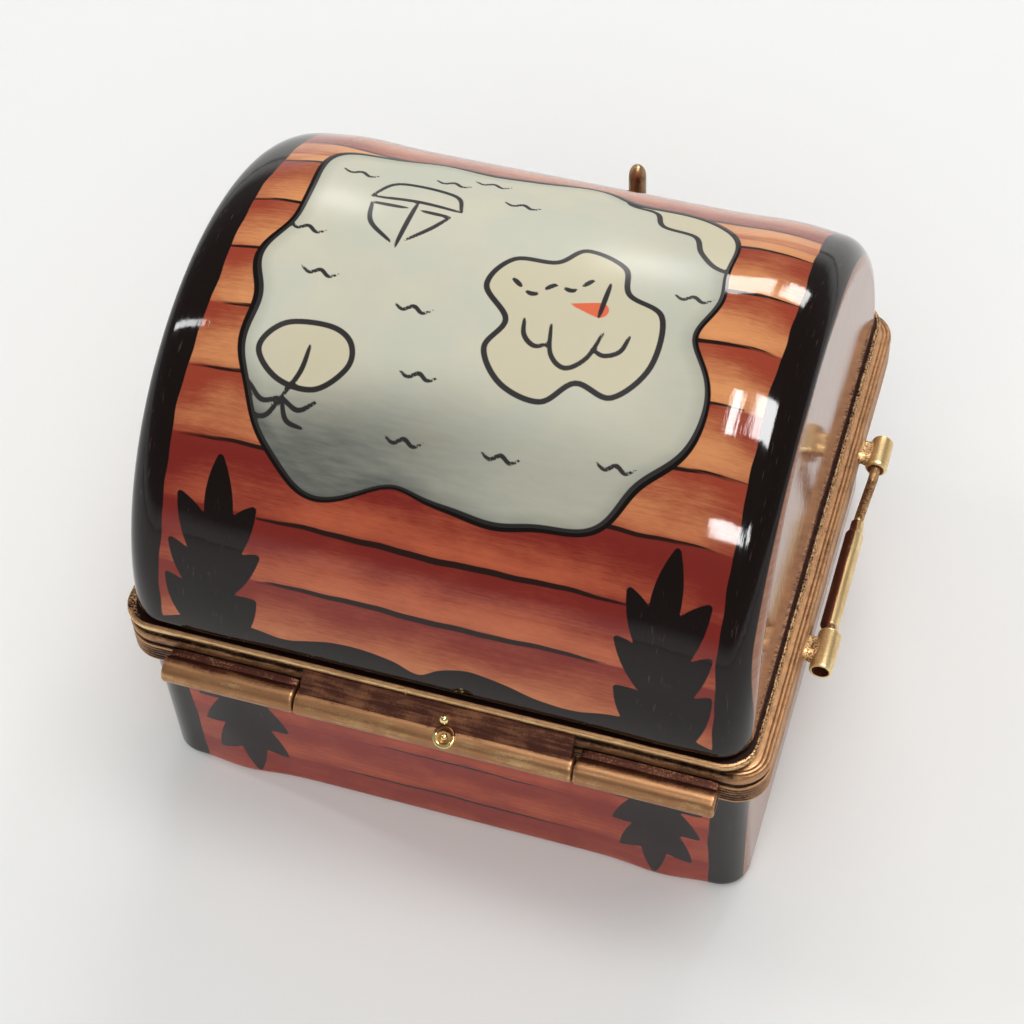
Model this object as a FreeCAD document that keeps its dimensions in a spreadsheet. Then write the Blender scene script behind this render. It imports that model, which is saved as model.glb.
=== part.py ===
"""Treasure chest box: two porcelain shells in brass mounts, hinged at the back.

Frame: millimetres, +Z up, the origin in the middle of the foot. The length runs along X,
the clasp is on the front (-Y) and the hinge on the back (+Y). The left end is at -X.
"""
import FreeCAD, Part
import math
import os

import Sketcher

SIZES = [
    ("rim_length", 57.0, "both rims, outer length along X"),
    ("rim_depth", 54.0, "both rims, outer depth along Y"),
    ("rim_corner", 3.0, "both rims, outer corner radius in plan"),
    ("rim_edge_round", 0.25, "both rims, round of the outer edges"),
    ("parting_height", 23.0, "top of the base rim above the foot"),
    ("parting_gap", 0.1, "gap between the two rims when shut"),
    ("bond_gap", 0.05, "cement gap between porcelain and brass"),
    ("cut_overrun", 1.0, "how far a cut runs past the piece"),
    ("level_tolerance", 0.00001, "how far an edge may stand from a height that picks it"),
    ("foot_length", 55.9, "tub, length at the foot"),
    ("foot_depth", 49.9, "tub, depth at the foot"),
    ("shoulder_length", 55.0, "tub, length inside the base rim"),
    ("shoulder_depth", 52.0, "tub, depth inside the base rim"),
    ("tub_corner", 2.6, "tub, upright corner radius"),
    ("tub_wall", 2.4, "tub, wall"),
    ("tub_floor", 2.6, "tub, floor"),
    ("tub_cavity_corner", 2.0, "tub, corner radius of the hollow"),
    ("foot_round", 0.9, "tub, round along the foot"),
    ("base_rim_height", 3.8, "base rim, height of the band"),
    ("base_ledge", 0.7, "base rim, ledge over the tub's edge"),
    ("base_bead_height", 1.1, "base rim, upper bead"),
    ("base_waist_height", 0.45, "base rim, waist under the bead"),
    ("base_waist_inset", 0.2, "base rim, depth of the waist"),
    ("lid_rim_height", 1.3, "lid rim, height"),
    ("lid_waist_height", 0.55, "lid rim, waist under the lip"),
    ("lid_waist_inset", 0.3, "lid rim, depth of the waist"),
    ("collar_height", 1.6, "lid rim, collar inside the porcelain"),
    ("collar_wall", 0.7, "lid rim, wall of the collar"),
    ("collar_gap", 0.25, "lid rim, gap round the collar"),
    ("lid_length", 55.6, "lid porcelain, length"),
    ("lid_depth", 53.1, "lid porcelain, depth"),
    ("lid_height", 24.3, "lid porcelain, height of the arch"),
    ("lid_wall", 2.3, "lid porcelain, wall"),
    ("lid_corner", 3.0, "lid porcelain, upright corner radius"),
    ("lid_cavity_corner", 1.6, "lid porcelain, corner radius of the hollow"),
    ("crown_run", 9.0, "lid porcelain, length of the fall at each end of the crown"),
    ("crown_fall", 2.1, "lid porcelain, fall of the crown at each end"),
    ("cavity_run", 3.0, "lid porcelain, length of the fall in the hollow"),
    ("swell_place", 20.2, "lid porcelain, swell's distance from the middle"),
    ("swell_width", 3.6, "lid porcelain, spread of the swell"),
    ("swell_rise", 0.35, "lid porcelain, rise of the swell"),
    ("heel_round", 0.8, "lid porcelain, round along its lower edge"),
    ("hinge_reach", 1.5, "hinge axis behind the rims"),
    ("hinge_drop", 2.1, "hinge axis below the top of the base rim"),
    ("hinge_shift", -0.85, "hinge, middle along X"),
    ("knuckle_diameter", 2.4, "hinge tubes, outside"),
    ("centre_knuckle_length", 25.0, "middle hinge tube"),
    ("side_knuckle_length", 12.2, "each outer hinge tube"),
    ("knuckle_gap", 0.15, "between hinge tubes"),
    ("pin_diameter", 1.1, "hinge pin"),
    ("pin_clearance", 0.05, "hinge pin in its tubes, at the radius"),
    ("pin_recess", 0.2, "hinge pin's ends inside the outer tubes"),
    ("web_height", 1.3, "web between an outer tube and the base rim"),
    ("leaf_gap", 0.35, "hinge leaf behind the base rim"),
    ("leaf_thickness", 0.55, "hinge leaf, at the lid rim"),
    ("leaf_end_inset", 0.3, "hinge leaf, short of the middle tube's ends"),
    ("rivet_shift", -1.2, "hinge rivet from the middle of its tube"),
    ("rivet_tilt", 40.0, "hinge rivet, lean from upright to the back, in degrees"),
    ("rivet_shank", 0.6, "hinge rivet, shank diameter"),
    ("rivet_ring", 1.6, "hinge rivet, ring diameter"),
    ("rivet_ring_height", 0.35, "hinge rivet, ring"),
    ("rivet_bead", 0.95, "hinge rivet, bead diameter"),
    ("rivet_bead_height", 0.5, "hinge rivet, bead above the ring"),
    ("rivet_ring_round", 0.15, "hinge rivet, round of the ring"),
    ("rivet_bead_round", 0.42, "hinge rivet, round of the bead"),
    ("ear_reach", 2.6, "handle axis outside the base rim"),
    ("ear_drop", 1.9, "handle axis below the top of the base rim"),
    ("ear_spread", 22.6, "between the middles of two ears"),
    ("ear_length", 4.2, "ear tube, length"),
    ("ear_diameter", 2.1, "ear tube, outside"),
    ("stub_width", 2.4, "ear stub, along the rim"),
    ("stub_height", 1.3, "ear stub, height"),
    ("wire_diameter", 0.9, "bail wire"),
    ("wire_clearance", 0.05, "bail wire in its ears, at the radius"),
    ("wire_tail", 3.0, "bail wire, length held in an ear"),
    ("wire_shoulder", 0.75, "bail wire, from an ear to its bend"),
    ("wire_bend", 0.75, "bail wire, radius of the bends"),
    ("bail_drop", 4.85, "grip's axis below the ears' axis"),
    ("grip_length", 13.6, "grip, with its necks"),
    ("grip_diameter", 1.7, "grip, outside"),
    ("grip_neck_length", 1.1, "grip, each neck"),
    ("grip_neck_diameter", 1.25, "grip, outside at a neck"),
    ("grip_shoulder", 0.4, "grip, slope from neck to body"),
    ("grip_lead", 0.65, "bail wire, from the grip to its bend"),
    ("clasp_shift", -2.4, "clasp, middle along X"),
    ("clasp_reach", 4.0, "clasp bar's axis in front of the rims"),
    ("clasp_bar_diameter", 1.7, "clasp bar"),
    ("clasp_tip_height", 8.0, "clasp bar's tip above the lid rim"),
    ("clasp_tip_round", 0.8, "clasp bar, round of the tip"),
    ("bracket_width", 3.0, "clasp bracket, along the rim"),
    ("bracket_eye", 3.2, "clasp bracket, diameter of the eye round the bar"),
    ("tongue_width", 3.2, "clasp tongue, along the rim"),
    ("tongue_thickness", 0.9, "clasp tongue"),
    ("tongue_drop", 2.2, "clasp tongue below the stud's axis"),
    ("tongue_corner", 0.8, "clasp tongue, round of its lower corners"),
    ("stud_drop", 2.0, "clasp stud's axis below the top of the base rim"),
    ("stud_diameter", 1.0, "clasp stud, shank"),
    ("stud_clearance", 0.06, "clasp stud in the fork, at each side"),
    ("stud_flange", 2.6, "clasp stud, flange on the rim"),
    ("stud_flange_height", 0.5, "clasp stud, flange thickness"),
    ("stud_head", 2.0, "clasp stud, head"),
    ("stud_head_height", 0.6, "clasp stud, head thickness"),
    ("stud_head_gap", 0.2, "clasp stud, from the tongue to the head"),
    ("stud_head_round", 0.4, "clasp stud, round of the head"),
]

HALF_LENGTH = "sizes.rim_length / 2"
HALF_DEPTH = "sizes.rim_depth / 2"
BASE_RIM_FOOT = "(sizes.parting_height - sizes.base_rim_height)"
TUB_TOP = "(sizes.parting_height - sizes.base_ledge)"
LID_RIM_FOOT = "(sizes.parting_height + sizes.parting_gap)"
LID_LIP_FOOT = f"({LID_RIM_FOOT} + sizes.lid_waist_height)"
FLANGE_TOP = f"({LID_RIM_FOOT} + sizes.lid_rim_height)"
CAVITY_LENGTH = "(sizes.shoulder_length / 2 - sizes.tub_wall)"
CAVITY_DEPTH = "(sizes.shoulder_depth / 2 - sizes.tub_wall)"
COLLAR_LENGTH = "(sizes.lid_length / 2 - sizes.lid_wall - sizes.collar_gap)"
COLLAR_DEPTH = "(sizes.lid_depth / 2 - sizes.lid_wall - sizes.collar_gap)"
COLLAR_CORNER = "(sizes.lid_cavity_corner + sizes.collar_wall + sizes.collar_gap)"
HINGE_Y = f"({HALF_DEPTH} + sizes.hinge_reach)"
HINGE_Z = "(sizes.parting_height - sizes.hinge_drop)"
KNUCKLE_RADIUS = "sizes.knuckle_diameter / 2"
PIN_BORE = "(sizes.pin_diameter / 2 + sizes.pin_clearance)"
EAR_X = f"({HALF_LENGTH} + sizes.ear_reach)"
EAR_Z = "(sizes.parting_height - sizes.ear_drop)"
WIRE_BORE = "(sizes.wire_diameter / 2 + sizes.wire_clearance)"
CLASP_Y = f"(-{HALF_DEPTH} - sizes.clasp_reach)"
STUD_Z = "(sizes.parting_height - sizes.stud_drop)"

# The arch of the lid is drawn at these shares of its half length, closer where the ends fall away.
STATION_SHARES = (0, 0.2, 0.4, 0.55, 0.66, 0.73, 0.8, 0.87, 0.92, 0.96, 0.985, 0.997, 1)
# The foot's quarter round is drawn at these shares of its turn.
FOOT_ROUND_SHARES = (0, 0.2, 0.4, 0.6, 0.8, 1)
# The upper share of the swell that is left where the arch meets the rim.
SWELL_FOOT_SHARE = 0.3
# The most of a rim's waist that the round of its edges may take.
LEDGE_ROUND_SHARE = 0.8
# How far a swept wire's volume may stand from its section times its length.
WIRE_VOLUME_SHARE = 0.01
TILTS = {
    "X": FreeCAD.Rotation(FreeCAD.Vector(0, 1, 0), 90),
    "Y": FreeCAD.Rotation(FreeCAD.Vector(1, 0, 0), -90),
    "-Y": FreeCAD.Rotation(FreeCAD.Vector(1, 0, 0), 90),
    "Z": FreeCAD.Rotation(),
}

doc = FreeCAD.newDocument("treasure_chest_box")
sheet = doc.addObject("Spreadsheet::Sheet", "sizes")
for row, (alias, number, note) in enumerate(SIZES, start=1):
    sheet.set(f"A{row}", alias)
    sheet.set(f"B{row}", str(number))
    sheet.setAlias(f"B{row}", alias)
    sheet.set(f"C{row}", note)
doc.recompute()
pieces = []


def value(expression):
    """Return the number that a sheet expression stands for."""
    return float(sheet.evalExpression(expression))


def name_piece(item, label):
    """Give a finished piece its node name and list it for writing."""
    item.Label = label
    pieces.append(item)
    return item


def place(item, spot, tilt):
    """Turn an item by a rotation and tie its place to three expressions."""
    item.Placement = FreeCAD.Placement(FreeCAD.Vector(), tilt)
    for letter, expression in zip("xyz", spot):
        item.setExpression(f"Placement.Base.{letter}", expression)


def rod(name, radius, length, start, direction):
    """Make a cylinder that runs from a start point along an axis."""
    item = doc.addObject("Part::Cylinder", name)
    item.setExpression("Radius", radius)
    item.setExpression("Height", length)
    place(item, start, TILTS[direction])
    return item


def block(name, corner, size):
    """Make a box from its lowest corner and its three sides."""
    item = doc.addObject("Part::Box", name)
    for side, expression in zip(("Length", "Width", "Height"), size):
        item.setExpression(side, expression)
    place(item, corner, TILTS["Z"])
    return item


def cut(name, base, tool):
    """Take a tool away from a base."""
    item = doc.addObject("Part::Cut", name)
    item.Base = base
    item.Tool = tool
    return item


def fuse(name, base, tool):
    """Join two overlapping shapes of one piece."""
    item = doc.addObject("Part::Fuse", name)
    item.Base = base
    item.Tool = tool
    return item


def new_sketch(body, name, role, offset="0"):
    """Start a sketch on one of a body's own planes, moved along the plane's normal."""
    sketch = body.newObject("Sketcher::SketchObject", name)
    plane = next(item for item in body.Origin.OriginFeatures if item.Role == role)
    sketch.AttachmentSupport = [(plane, "")]
    sketch.MapMode = "FlatFace"
    sketch.setExpression("AttachmentOffset.Base.z", offset)
    return sketch


def bind(sketch, constraint, expression):
    """Add a measured constraint and tie it to an expression."""
    index = sketch.addConstraint(constraint)
    sketch.setExpression(f"Constraints[{index}]", expression)


def draw_polygon(sketch, corners):
    """Draw a closed outline through corners given as pairs of expressions."""
    points = [FreeCAD.Vector(value(across), value(along), 0) for across, along in corners]
    count = len(points)
    for index in range(count):
        sketch.addGeometry(Part.LineSegment(points[index], points[(index + 1) % count]), False)
    for index in range(count):
        sketch.addConstraint(Sketcher.Constraint("Coincident", index, 2, (index + 1) % count, 1))
    for index, (across, along) in enumerate(corners):
        point = points[index]
        bind(sketch, Sketcher.Constraint("DistanceX", -1, 1, index, 1, point.x), across)
        bind(sketch, Sketcher.Constraint("DistanceY", -1, 1, index, 1, point.y), along)


def draw_circle(sketch, across, along, radius):
    """Draw a circle whose centre and radius are expressions."""
    centre = FreeCAD.Vector(value(across), value(along), 0)
    circle = Part.Circle(centre, FreeCAD.Vector(0, 0, 1), value(radius))
    index = sketch.addGeometry(circle, False)
    bind(sketch, Sketcher.Constraint("DistanceX", -1, 1, index, 3, centre.x), across)
    bind(sketch, Sketcher.Constraint("DistanceY", -1, 1, index, 3, centre.y), along)
    bind(sketch, Sketcher.Constraint("Radius", index, value(radius)), radius)


def draw_rounded_rectangle(sketch, half_length, half_depth, corner):
    """Draw a rectangle about the origin with four equal round corners.

    The sides run right, top, left and bottom, each followed by the arc at its far end.
    """
    across, along, radius = value(half_length), value(half_depth), value(corner)
    spots = ((1, 1), (-1, 1), (-1, -1), (1, -1))
    ends = []
    for quarter, (right, up) in enumerate(spots):
        centre = FreeCAD.Vector(right * (across - radius), up * (along - radius), 0)
        first, last = quarter * math.pi / 2, (quarter + 1) * math.pi / 2
        arc = Part.ArcOfCircle(Part.Circle(centre, FreeCAD.Vector(0, 0, 1), radius), first, last)
        ends.append((arc.StartPoint, arc.EndPoint))
        sketch.addGeometry(arc, False)
    arcs = range(len(spots))
    for arc in arcs:
        following = (arc + 1) % len(spots)
        line = sketch.addGeometry(Part.LineSegment(ends[arc][1], ends[following][0]), False)
        sketch.addConstraint(Sketcher.Constraint("Tangent", arc, 2, line, 1))
        sketch.addConstraint(Sketcher.Constraint("Tangent", line, 2, following, 1))
        upright = arc % 2
        sketch.addConstraint(Sketcher.Constraint("Vertical" if upright else "Horizontal", line))
        kind = "DistanceX" if upright else "DistanceY"
        signed = "" if arc in (0, 3) else "-"
        reach = half_length if upright else half_depth
        far = f"{signed}({reach})"
        bind(sketch, Sketcher.Constraint(kind, -1, 1, line, 1, value(far)), far)
    for arc in arcs[1:]:
        sketch.addConstraint(Sketcher.Constraint("Equal", 0, arc))
    bind(sketch, Sketcher.Constraint("Radius", 0, radius), corner)


def plan_sketch(body, name, half_length, half_depth, corner, height):
    """Draw a rounded rectangle level at a height."""
    sketch = new_sketch(body, name, "XY_Plane", height)
    draw_rounded_rectangle(sketch, half_length, half_depth, corner)
    return sketch


def pad(body, sketch, length):
    """Thicken a sketch along its plane's normal."""
    feature = body.newObject("PartDesign::Pad", f"{sketch.Name}_pad")
    feature.Profile = sketch
    feature.setExpression("Length", length)
    return feature


def pocket(body, sketch, length):
    """Cut a sketch into the body, against its plane's normal."""
    feature = body.newObject("PartDesign::Pocket", f"{sketch.Name}_pocket")
    feature.Profile = sketch
    feature.setExpression("Length", length)
    return feature


def loft(body, kind, sections):
    """Join level outlines with straight walls, adding or taking away."""
    feature = body.newObject(f"PartDesign::{kind}", f"{sections[0].Name}_loft")
    feature.Profile = sections[0]
    feature.Sections = sections[1:]
    feature.Ruled = True
    return feature


def revolve(body, sketch):
    """Turn a profile once round the sketch's own upright axis."""
    feature = body.newObject("PartDesign::Revolution", f"{sketch.Name}_turned")
    feature.Profile = sketch
    feature.ReferenceAxis = (sketch, ["V_Axis"])
    feature.Angle = 360
    return feature


def level_edges(shape, height, half_length="0", half_depth="0"):
    """Name the edges that lie level at a height, outside a rectangle about the Z axis."""
    names = []
    for index, edge in enumerate(shape.Edges, start=1):
        box = edge.BoundBox
        level = abs(box.ZMin - height) + abs(box.ZMax - height) < value("sizes.level_tolerance")
        middle = edge.CenterOfMass
        outside = abs(middle.x) > value(half_length) or abs(middle.y) > value(half_depth)
        if level and outside:
            names.append(f"Edge{index}")
    return names


def fillet(body, feature, edges, radius):
    """Round edges of a feature."""
    rounded = body.newObject("PartDesign::Fillet", f"{feature.Name}_round")
    rounded.Base = (feature, edges)
    rounded.setExpression("Radius", radius)
    return rounded


def turned_piece(label, profile, spot, tilt, rounds=()):
    """Make a turned piece from (radius, height) corners, then round the edges at given heights.

    A round names a height and a radius, both expressions; only the edge furthest from
    the turning axis at that height is rounded.
    """
    body = doc.addObject("PartDesign::Body", label)
    sketch = new_sketch(body, f"{label}_profile", "XZ_Plane")
    draw_polygon(sketch, profile)
    feature = revolve(body, sketch)
    for height, radius in rounds:
        doc.recompute()
        level = level_edges(feature.Shape, value(height))
        widest = max(level, key=lambda name: feature.Shape.getElement(name).Length)
        feature = fillet(body, feature, [widest], radius)
    place(body, spot, tilt)
    return name_piece(body, label)


def make_base_porcelain():
    """Make the tub: a rounded foot, sloping walls, a straight collar in the rim and a hollow."""
    body = doc.addObject("PartDesign::Body", "base_porcelain")
    foot = ("sizes.foot_length / 2", "sizes.foot_depth / 2", "sizes.tub_corner")
    shoulder = ("sizes.shoulder_length / 2", "sizes.shoulder_depth / 2", "sizes.tub_corner")
    steps = []
    for index, share in enumerate(FOOT_ROUND_SHARES):
        inset = f"sizes.foot_round * (1 - sin(90 * {share}))"
        rise = f"sizes.foot_round * (1 - cos(90 * {share}))"
        steps.append(plan_sketch(body, f"tub_foot_{index}", *(f"{side} - {inset}" for side in foot), rise))
    loft(body, "AdditiveLoft", steps)
    ankle = plan_sketch(body, "tub_ankle", *foot, "sizes.foot_round")
    loft(body, "AdditiveLoft", [ankle, plan_sketch(body, "tub_shoulder", *shoulder, BASE_RIM_FOOT)])
    collar = plan_sketch(body, "tub_collar", *shoulder, BASE_RIM_FOOT)
    pad(body, collar, f"{TUB_TOP} - {BASE_RIM_FOOT}")
    inside = "sizes.tub_cavity_corner"
    floor = plan_sketch(body, "tub_hollow_floor", "sizes.foot_length / 2 - sizes.tub_wall",
                        "sizes.foot_depth / 2 - sizes.tub_wall", inside, "sizes.tub_floor")
    mouth = plan_sketch(body, "tub_hollow_mouth", CAVITY_LENGTH, CAVITY_DEPTH, inside, TUB_TOP)
    loft(body, "SubtractiveLoft", [floor, mouth])
    return name_piece(body, "base_porcelain")


def make_base_rim():
    """Make the band: a wide foot, a waist, a bead, a seat for the tub and an open ledge."""
    body = doc.addObject("PartDesign::Body", "base_rim")
    waist_foot = "(sizes.parting_height - sizes.base_bead_height - sizes.base_waist_height)"
    bead_foot = "(sizes.parting_height - sizes.base_bead_height)"
    outline = (HALF_LENGTH, HALF_DEPTH, "sizes.rim_corner")
    waist = [f"{side} - sizes.base_waist_inset" for side in outline]
    pad(body, plan_sketch(body, "base_band", *outline, BASE_RIM_FOOT), f"{waist_foot} - {BASE_RIM_FOOT}")
    pad(body, plan_sketch(body, "base_waist", *waist, waist_foot), "sizes.base_waist_height")
    bead = pad(body, plan_sketch(body, "base_bead", *outline, bead_foot), "sizes.base_bead_height")
    doc.recompute()
    halfway = [f"{side} - sizes.base_waist_inset / 2" for side in outline[:2]]
    edges = []
    for height in (BASE_RIM_FOOT, waist_foot, bead_foot, "sizes.parting_height"):
        edges += level_edges(bead.Shape, value(height), *halfway)
    fillet(body, bead, edges, f"min(sizes.rim_edge_round; sizes.base_waist_inset * {LEDGE_ROUND_SHARE})")
    shoulder = ("sizes.shoulder_length / 2", "sizes.shoulder_depth / 2", "sizes.tub_corner")
    seat = plan_sketch(body, "base_seat", *(f"{side} + sizes.bond_gap" for side in shoulder), TUB_TOP)
    pocket(body, seat, f"{TUB_TOP} - {BASE_RIM_FOOT} + sizes.cut_overrun")
    opening = plan_sketch(body, "base_opening", CAVITY_LENGTH, CAVITY_DEPTH, "sizes.tub_cavity_corner",
                          "sizes.parting_height + sizes.cut_overrun")
    pocket(body, opening, "sizes.base_ledge + 2 * sizes.cut_overrun")
    return name_piece(body, "base_rim")


def make_lid_rim():
    """Make the flange: a waist, a wider lip above it, a collar and an open middle."""
    body = doc.addObject("PartDesign::Body", "lid_rim")
    outline = (HALF_LENGTH, HALF_DEPTH, "sizes.rim_corner")
    waist = [f"{side} - sizes.lid_waist_inset" for side in outline]
    collar = (COLLAR_LENGTH, COLLAR_DEPTH, COLLAR_CORNER)
    opening = [f"{side} - sizes.collar_wall" for side in collar]
    pad(body, plan_sketch(body, "lid_waist", *waist, LID_RIM_FOOT), "sizes.lid_waist_height")
    lip = pad(body, plan_sketch(body, "lid_lip", *outline, LID_LIP_FOOT),
              "sizes.lid_rim_height - sizes.lid_waist_height")
    doc.recompute()
    halfway = [f"{side} - sizes.lid_waist_inset / 2" for side in outline[:2]]
    edges = []
    for height in (LID_LIP_FOOT, FLANGE_TOP):
        edges += level_edges(lip.Shape, value(height), *halfway)
    fillet(body, lip, edges, f"min(sizes.rim_edge_round; sizes.lid_waist_inset * {LEDGE_ROUND_SHARE})")
    pad(body, plan_sketch(body, "lid_collar", *collar, FLANGE_TOP), "sizes.collar_height")
    collar_top = f"{FLANGE_TOP} + sizes.collar_height"
    middle = plan_sketch(body, "lid_opening", *opening, f"{collar_top} + sizes.cut_overrun")
    pocket(body, middle, "sizes.lid_rim_height + sizes.collar_height + 2 * sizes.cut_overrun")
    return name_piece(body, "lid_rim")


def quarter_fall(distance, run, fall):
    """Return the drop of an elliptical quarter round at a distance from where it starts."""
    part = min(max(distance / run, 0), 1)
    return fall * (1 - math.sqrt(1 - part * part))


def arch(half_length, half_depth, height, corner, run, fall):
    """Make a solid barrel arch that stands on the flange, its ends falling away.

    Each section is half an ellipse. Towards an end its width falls by a round corner and
    its crown by a longer, flatter round; a swell lifts it near each end.
    """
    top = value(FLANGE_TOP)
    upright = FreeCAD.Vector(1, 0, 0)
    half_circle = Part.ArcOfCircle(Part.Circle(FreeCAD.Vector(), upright, 1), 0, math.pi).toShape()
    first, last = half_circle.Vertexes
    outline = Part.Wire([half_circle, Part.LineSegment(last.Point, first.Point).toShape()])
    turn = FreeCAD.Placement(FreeCAD.Vector(), FreeCAD.Rotation(upright, crown_turn(half_circle)))
    outline.Placement = turn
    sections = []
    for share in [-share for share in STATION_SHARES[:0:-1]] + list(STATION_SHARES):
        x = share * half_length
        reach = abs(x)
        swell = value("sizes.swell_rise") * math.exp(
            -((reach - value("sizes.swell_place")) / value("sizes.swell_width")) ** 2)
        from_end = half_length - reach
        width = half_depth + SWELL_FOOT_SHARE * swell - quarter_fall(corner - from_end, corner, corner)
        crown = height + swell - quarter_fall(run - from_end, run, fall)
        stretch = FreeCAD.Matrix()
        stretch.A22, stretch.A33 = width, crown
        stretch.A14, stretch.A34 = x, top
        sections.append(outline.transformGeometry(stretch))
    return Part.makeLoft(sections, True, False)


def crown_turn(half_circle):
    """Return the turn about X, in degrees, that brings a half circle's middle to the top."""
    middle = half_circle.valueAt((half_circle.FirstParameter + half_circle.LastParameter) / 2)
    return 90 - math.degrees(math.atan2(middle.z, middle.y))


def make_lid_porcelain():
    """Make the lid shell: an arch, hollowed, with its lower edge rounded."""
    length, depth = value("sizes.lid_length / 2"), value("sizes.lid_depth / 2")
    height = value("sizes.lid_height")
    wall, fall = value("sizes.lid_wall"), value("sizes.crown_fall")
    outer = arch(length, depth, height, value("sizes.lid_corner"), value("sizes.crown_run"), fall)
    heel = [outer.getElement(name) for name in level_edges(outer, value(FLANGE_TOP))]
    outer = outer.makeFillet(value("sizes.heel_round"), heel)
    inner = arch(length - wall, depth - wall, height - wall, value("sizes.lid_cavity_corner"),
                 value("sizes.cavity_run"), fall)
    shell = doc.addObject("Part::Feature", "lid_porcelain")
    shell.Shape = outer.cut(inner)
    shell.Placement = FreeCAD.Placement()
    return name_piece(shell, "lid_porcelain")


def make_side_knuckle(label, start):
    """Make an outer hinge tube with a web back to the base rim, from its lower X end."""
    length = "sizes.side_knuckle_length"
    tube = rod(f"{label}_tube", KNUCKLE_RADIUS, length, (start, HINGE_Y, HINGE_Z), "X")
    web = block(f"{label}_web", (start, HALF_DEPTH, f"{HINGE_Z} - sizes.web_height / 2"),
                (length, "sizes.hinge_reach", "sizes.web_height"))
    bore = rod(f"{label}_bore", PIN_BORE, f"{length} + 2 * sizes.cut_overrun",
               (f"{start} - sizes.cut_overrun", HINGE_Y, HINGE_Z), "X")
    return name_piece(cut(label, fuse(f"{label}_body", tube, web), bore), label)


def make_hinge():
    """Make the tubes, the leaf on the lid rim, the pin and the rivet that locks it."""
    half = "sizes.centre_knuckle_length / 2"
    step = f"({half} + sizes.knuckle_gap)"
    make_side_knuckle("hinge_knuckle_left", f"sizes.hinge_shift - {step} - sizes.side_knuckle_length")
    make_side_knuckle("hinge_knuckle_right", f"sizes.hinge_shift + {step}")
    rivet_x = "sizes.hinge_shift + sizes.rivet_shift"
    start = f"sizes.hinge_shift - {half}"
    tube = rod("centre_tube", KNUCKLE_RADIUS, "sizes.centre_knuckle_length", (start, HINGE_Y, HINGE_Z), "X")
    bore = rod("centre_bore", PIN_BORE, "sizes.centre_knuckle_length + 2 * sizes.cut_overrun",
               (f"{start} - sizes.cut_overrun", HINGE_Y, HINGE_Z), "X")
    hole = rod("rivet_hole", "sizes.rivet_shank / 2 + sizes.bond_gap", "sizes.knuckle_diameter",
               (rivet_x, HINGE_Y, HINGE_Z), "Z")
    lean = FreeCAD.Rotation(FreeCAD.Vector(1, 0, 0), -value("sizes.rivet_tilt"))
    place(hole, (rivet_x, HINGE_Y, HINGE_Z), lean)
    name_piece(cut("hinge_knuckle_centre", cut("centre_hollow", tube, bore), hole), "hinge_knuckle_centre")
    reach = "(sizes.side_knuckle_length - sizes.pin_recess)"
    name_piece(rod("hinge_pin", "sizes.pin_diameter / 2", f"2 * ({step} + {reach})",
                   (f"sizes.hinge_shift - {step} - {reach}", HINGE_Y, HINGE_Z), "X"), "hinge_pin")
    make_hinge_leaf(f"{start} + sizes.leaf_end_inset")
    shank, ring, bead = "sizes.rivet_shank / 2", "sizes.rivet_ring / 2", "sizes.rivet_bead / 2"
    seat = KNUCKLE_RADIUS
    ring_top = f"({seat} + sizes.rivet_ring_height)"
    bead_top = f"({ring_top} + sizes.rivet_bead_height)"
    pin_side = "sizes.pin_diameter / 2"
    profile = (("0", pin_side), (shank, pin_side), (shank, seat), (ring, seat), (ring, ring_top),
               (bead, ring_top), (bead, bead_top), ("0", bead_top))
    turned_piece("hinge_rivet", profile, (rivet_x, HINGE_Y, HINGE_Z), lean,
                 ((bead_top, "sizes.rivet_bead_round"), (ring_top, "sizes.rivet_ring_round")))


def make_hinge_leaf(start):
    """Make the leaf: from the lid rim's waist over the base rim's edge, down to the middle tube."""
    body = doc.addObject("PartDesign::Body", "hinge_leaf")
    waist = f"{HALF_DEPTH} - sizes.lid_waist_inset"
    inner = f"{HALF_DEPTH} + sizes.leaf_gap"
    top = f"{LID_RIM_FOOT} + sizes.leaf_thickness"
    section = new_sketch(body, "leaf_section", "YZ_Plane", start)
    draw_polygon(section, ((waist, LID_RIM_FOOT), (waist, top), (HALF_DEPTH, top),
                           (HINGE_Y, f"{HINGE_Z} + {KNUCKLE_RADIUS}"), (HINGE_Y, HINGE_Z),
                           (inner, HINGE_Z), (inner, LID_RIM_FOOT)))
    length = "sizes.centre_knuckle_length - 2 * sizes.leaf_end_inset"
    pad(body, section, length)
    seat = new_sketch(body, "leaf_seat", "YZ_Plane", f"{start} + {length} + sizes.cut_overrun")
    draw_circle(seat, HINGE_Y, HINGE_Z, KNUCKLE_RADIUS)
    pocket(body, seat, f"{length} + 2 * sizes.cut_overrun")
    return name_piece(body, "hinge_leaf")


def make_ear(label, end, side):
    """Make one ear: a tube along Y on a stub from the rim, at an end (-1 or 1) and a side."""
    x = f"{end} * {EAR_X}"
    y = f"({side} * sizes.ear_spread / 2)"
    half = "sizes.ear_length / 2"
    tube = rod(f"{label}_tube", "sizes.ear_diameter / 2", "sizes.ear_length",
               (x, f"{y} - {half}", EAR_Z), "Y")
    near = HALF_LENGTH if end > 0 else f"-{EAR_X}"
    stub = block(f"{label}_stub", (near, f"{y} - sizes.stub_width / 2", f"{EAR_Z} - sizes.stub_height / 2"),
                 ("sizes.ear_reach", "sizes.stub_width", "sizes.stub_height"))
    bore = rod(f"{label}_bore", WIRE_BORE, "sizes.ear_length + 2 * sizes.cut_overrun",
               (x, f"{y} - {half} - sizes.cut_overrun", EAR_Z), "Y")
    return name_piece(cut(label, fuse(f"{label}_body", tube, stub), bore), label)


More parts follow.
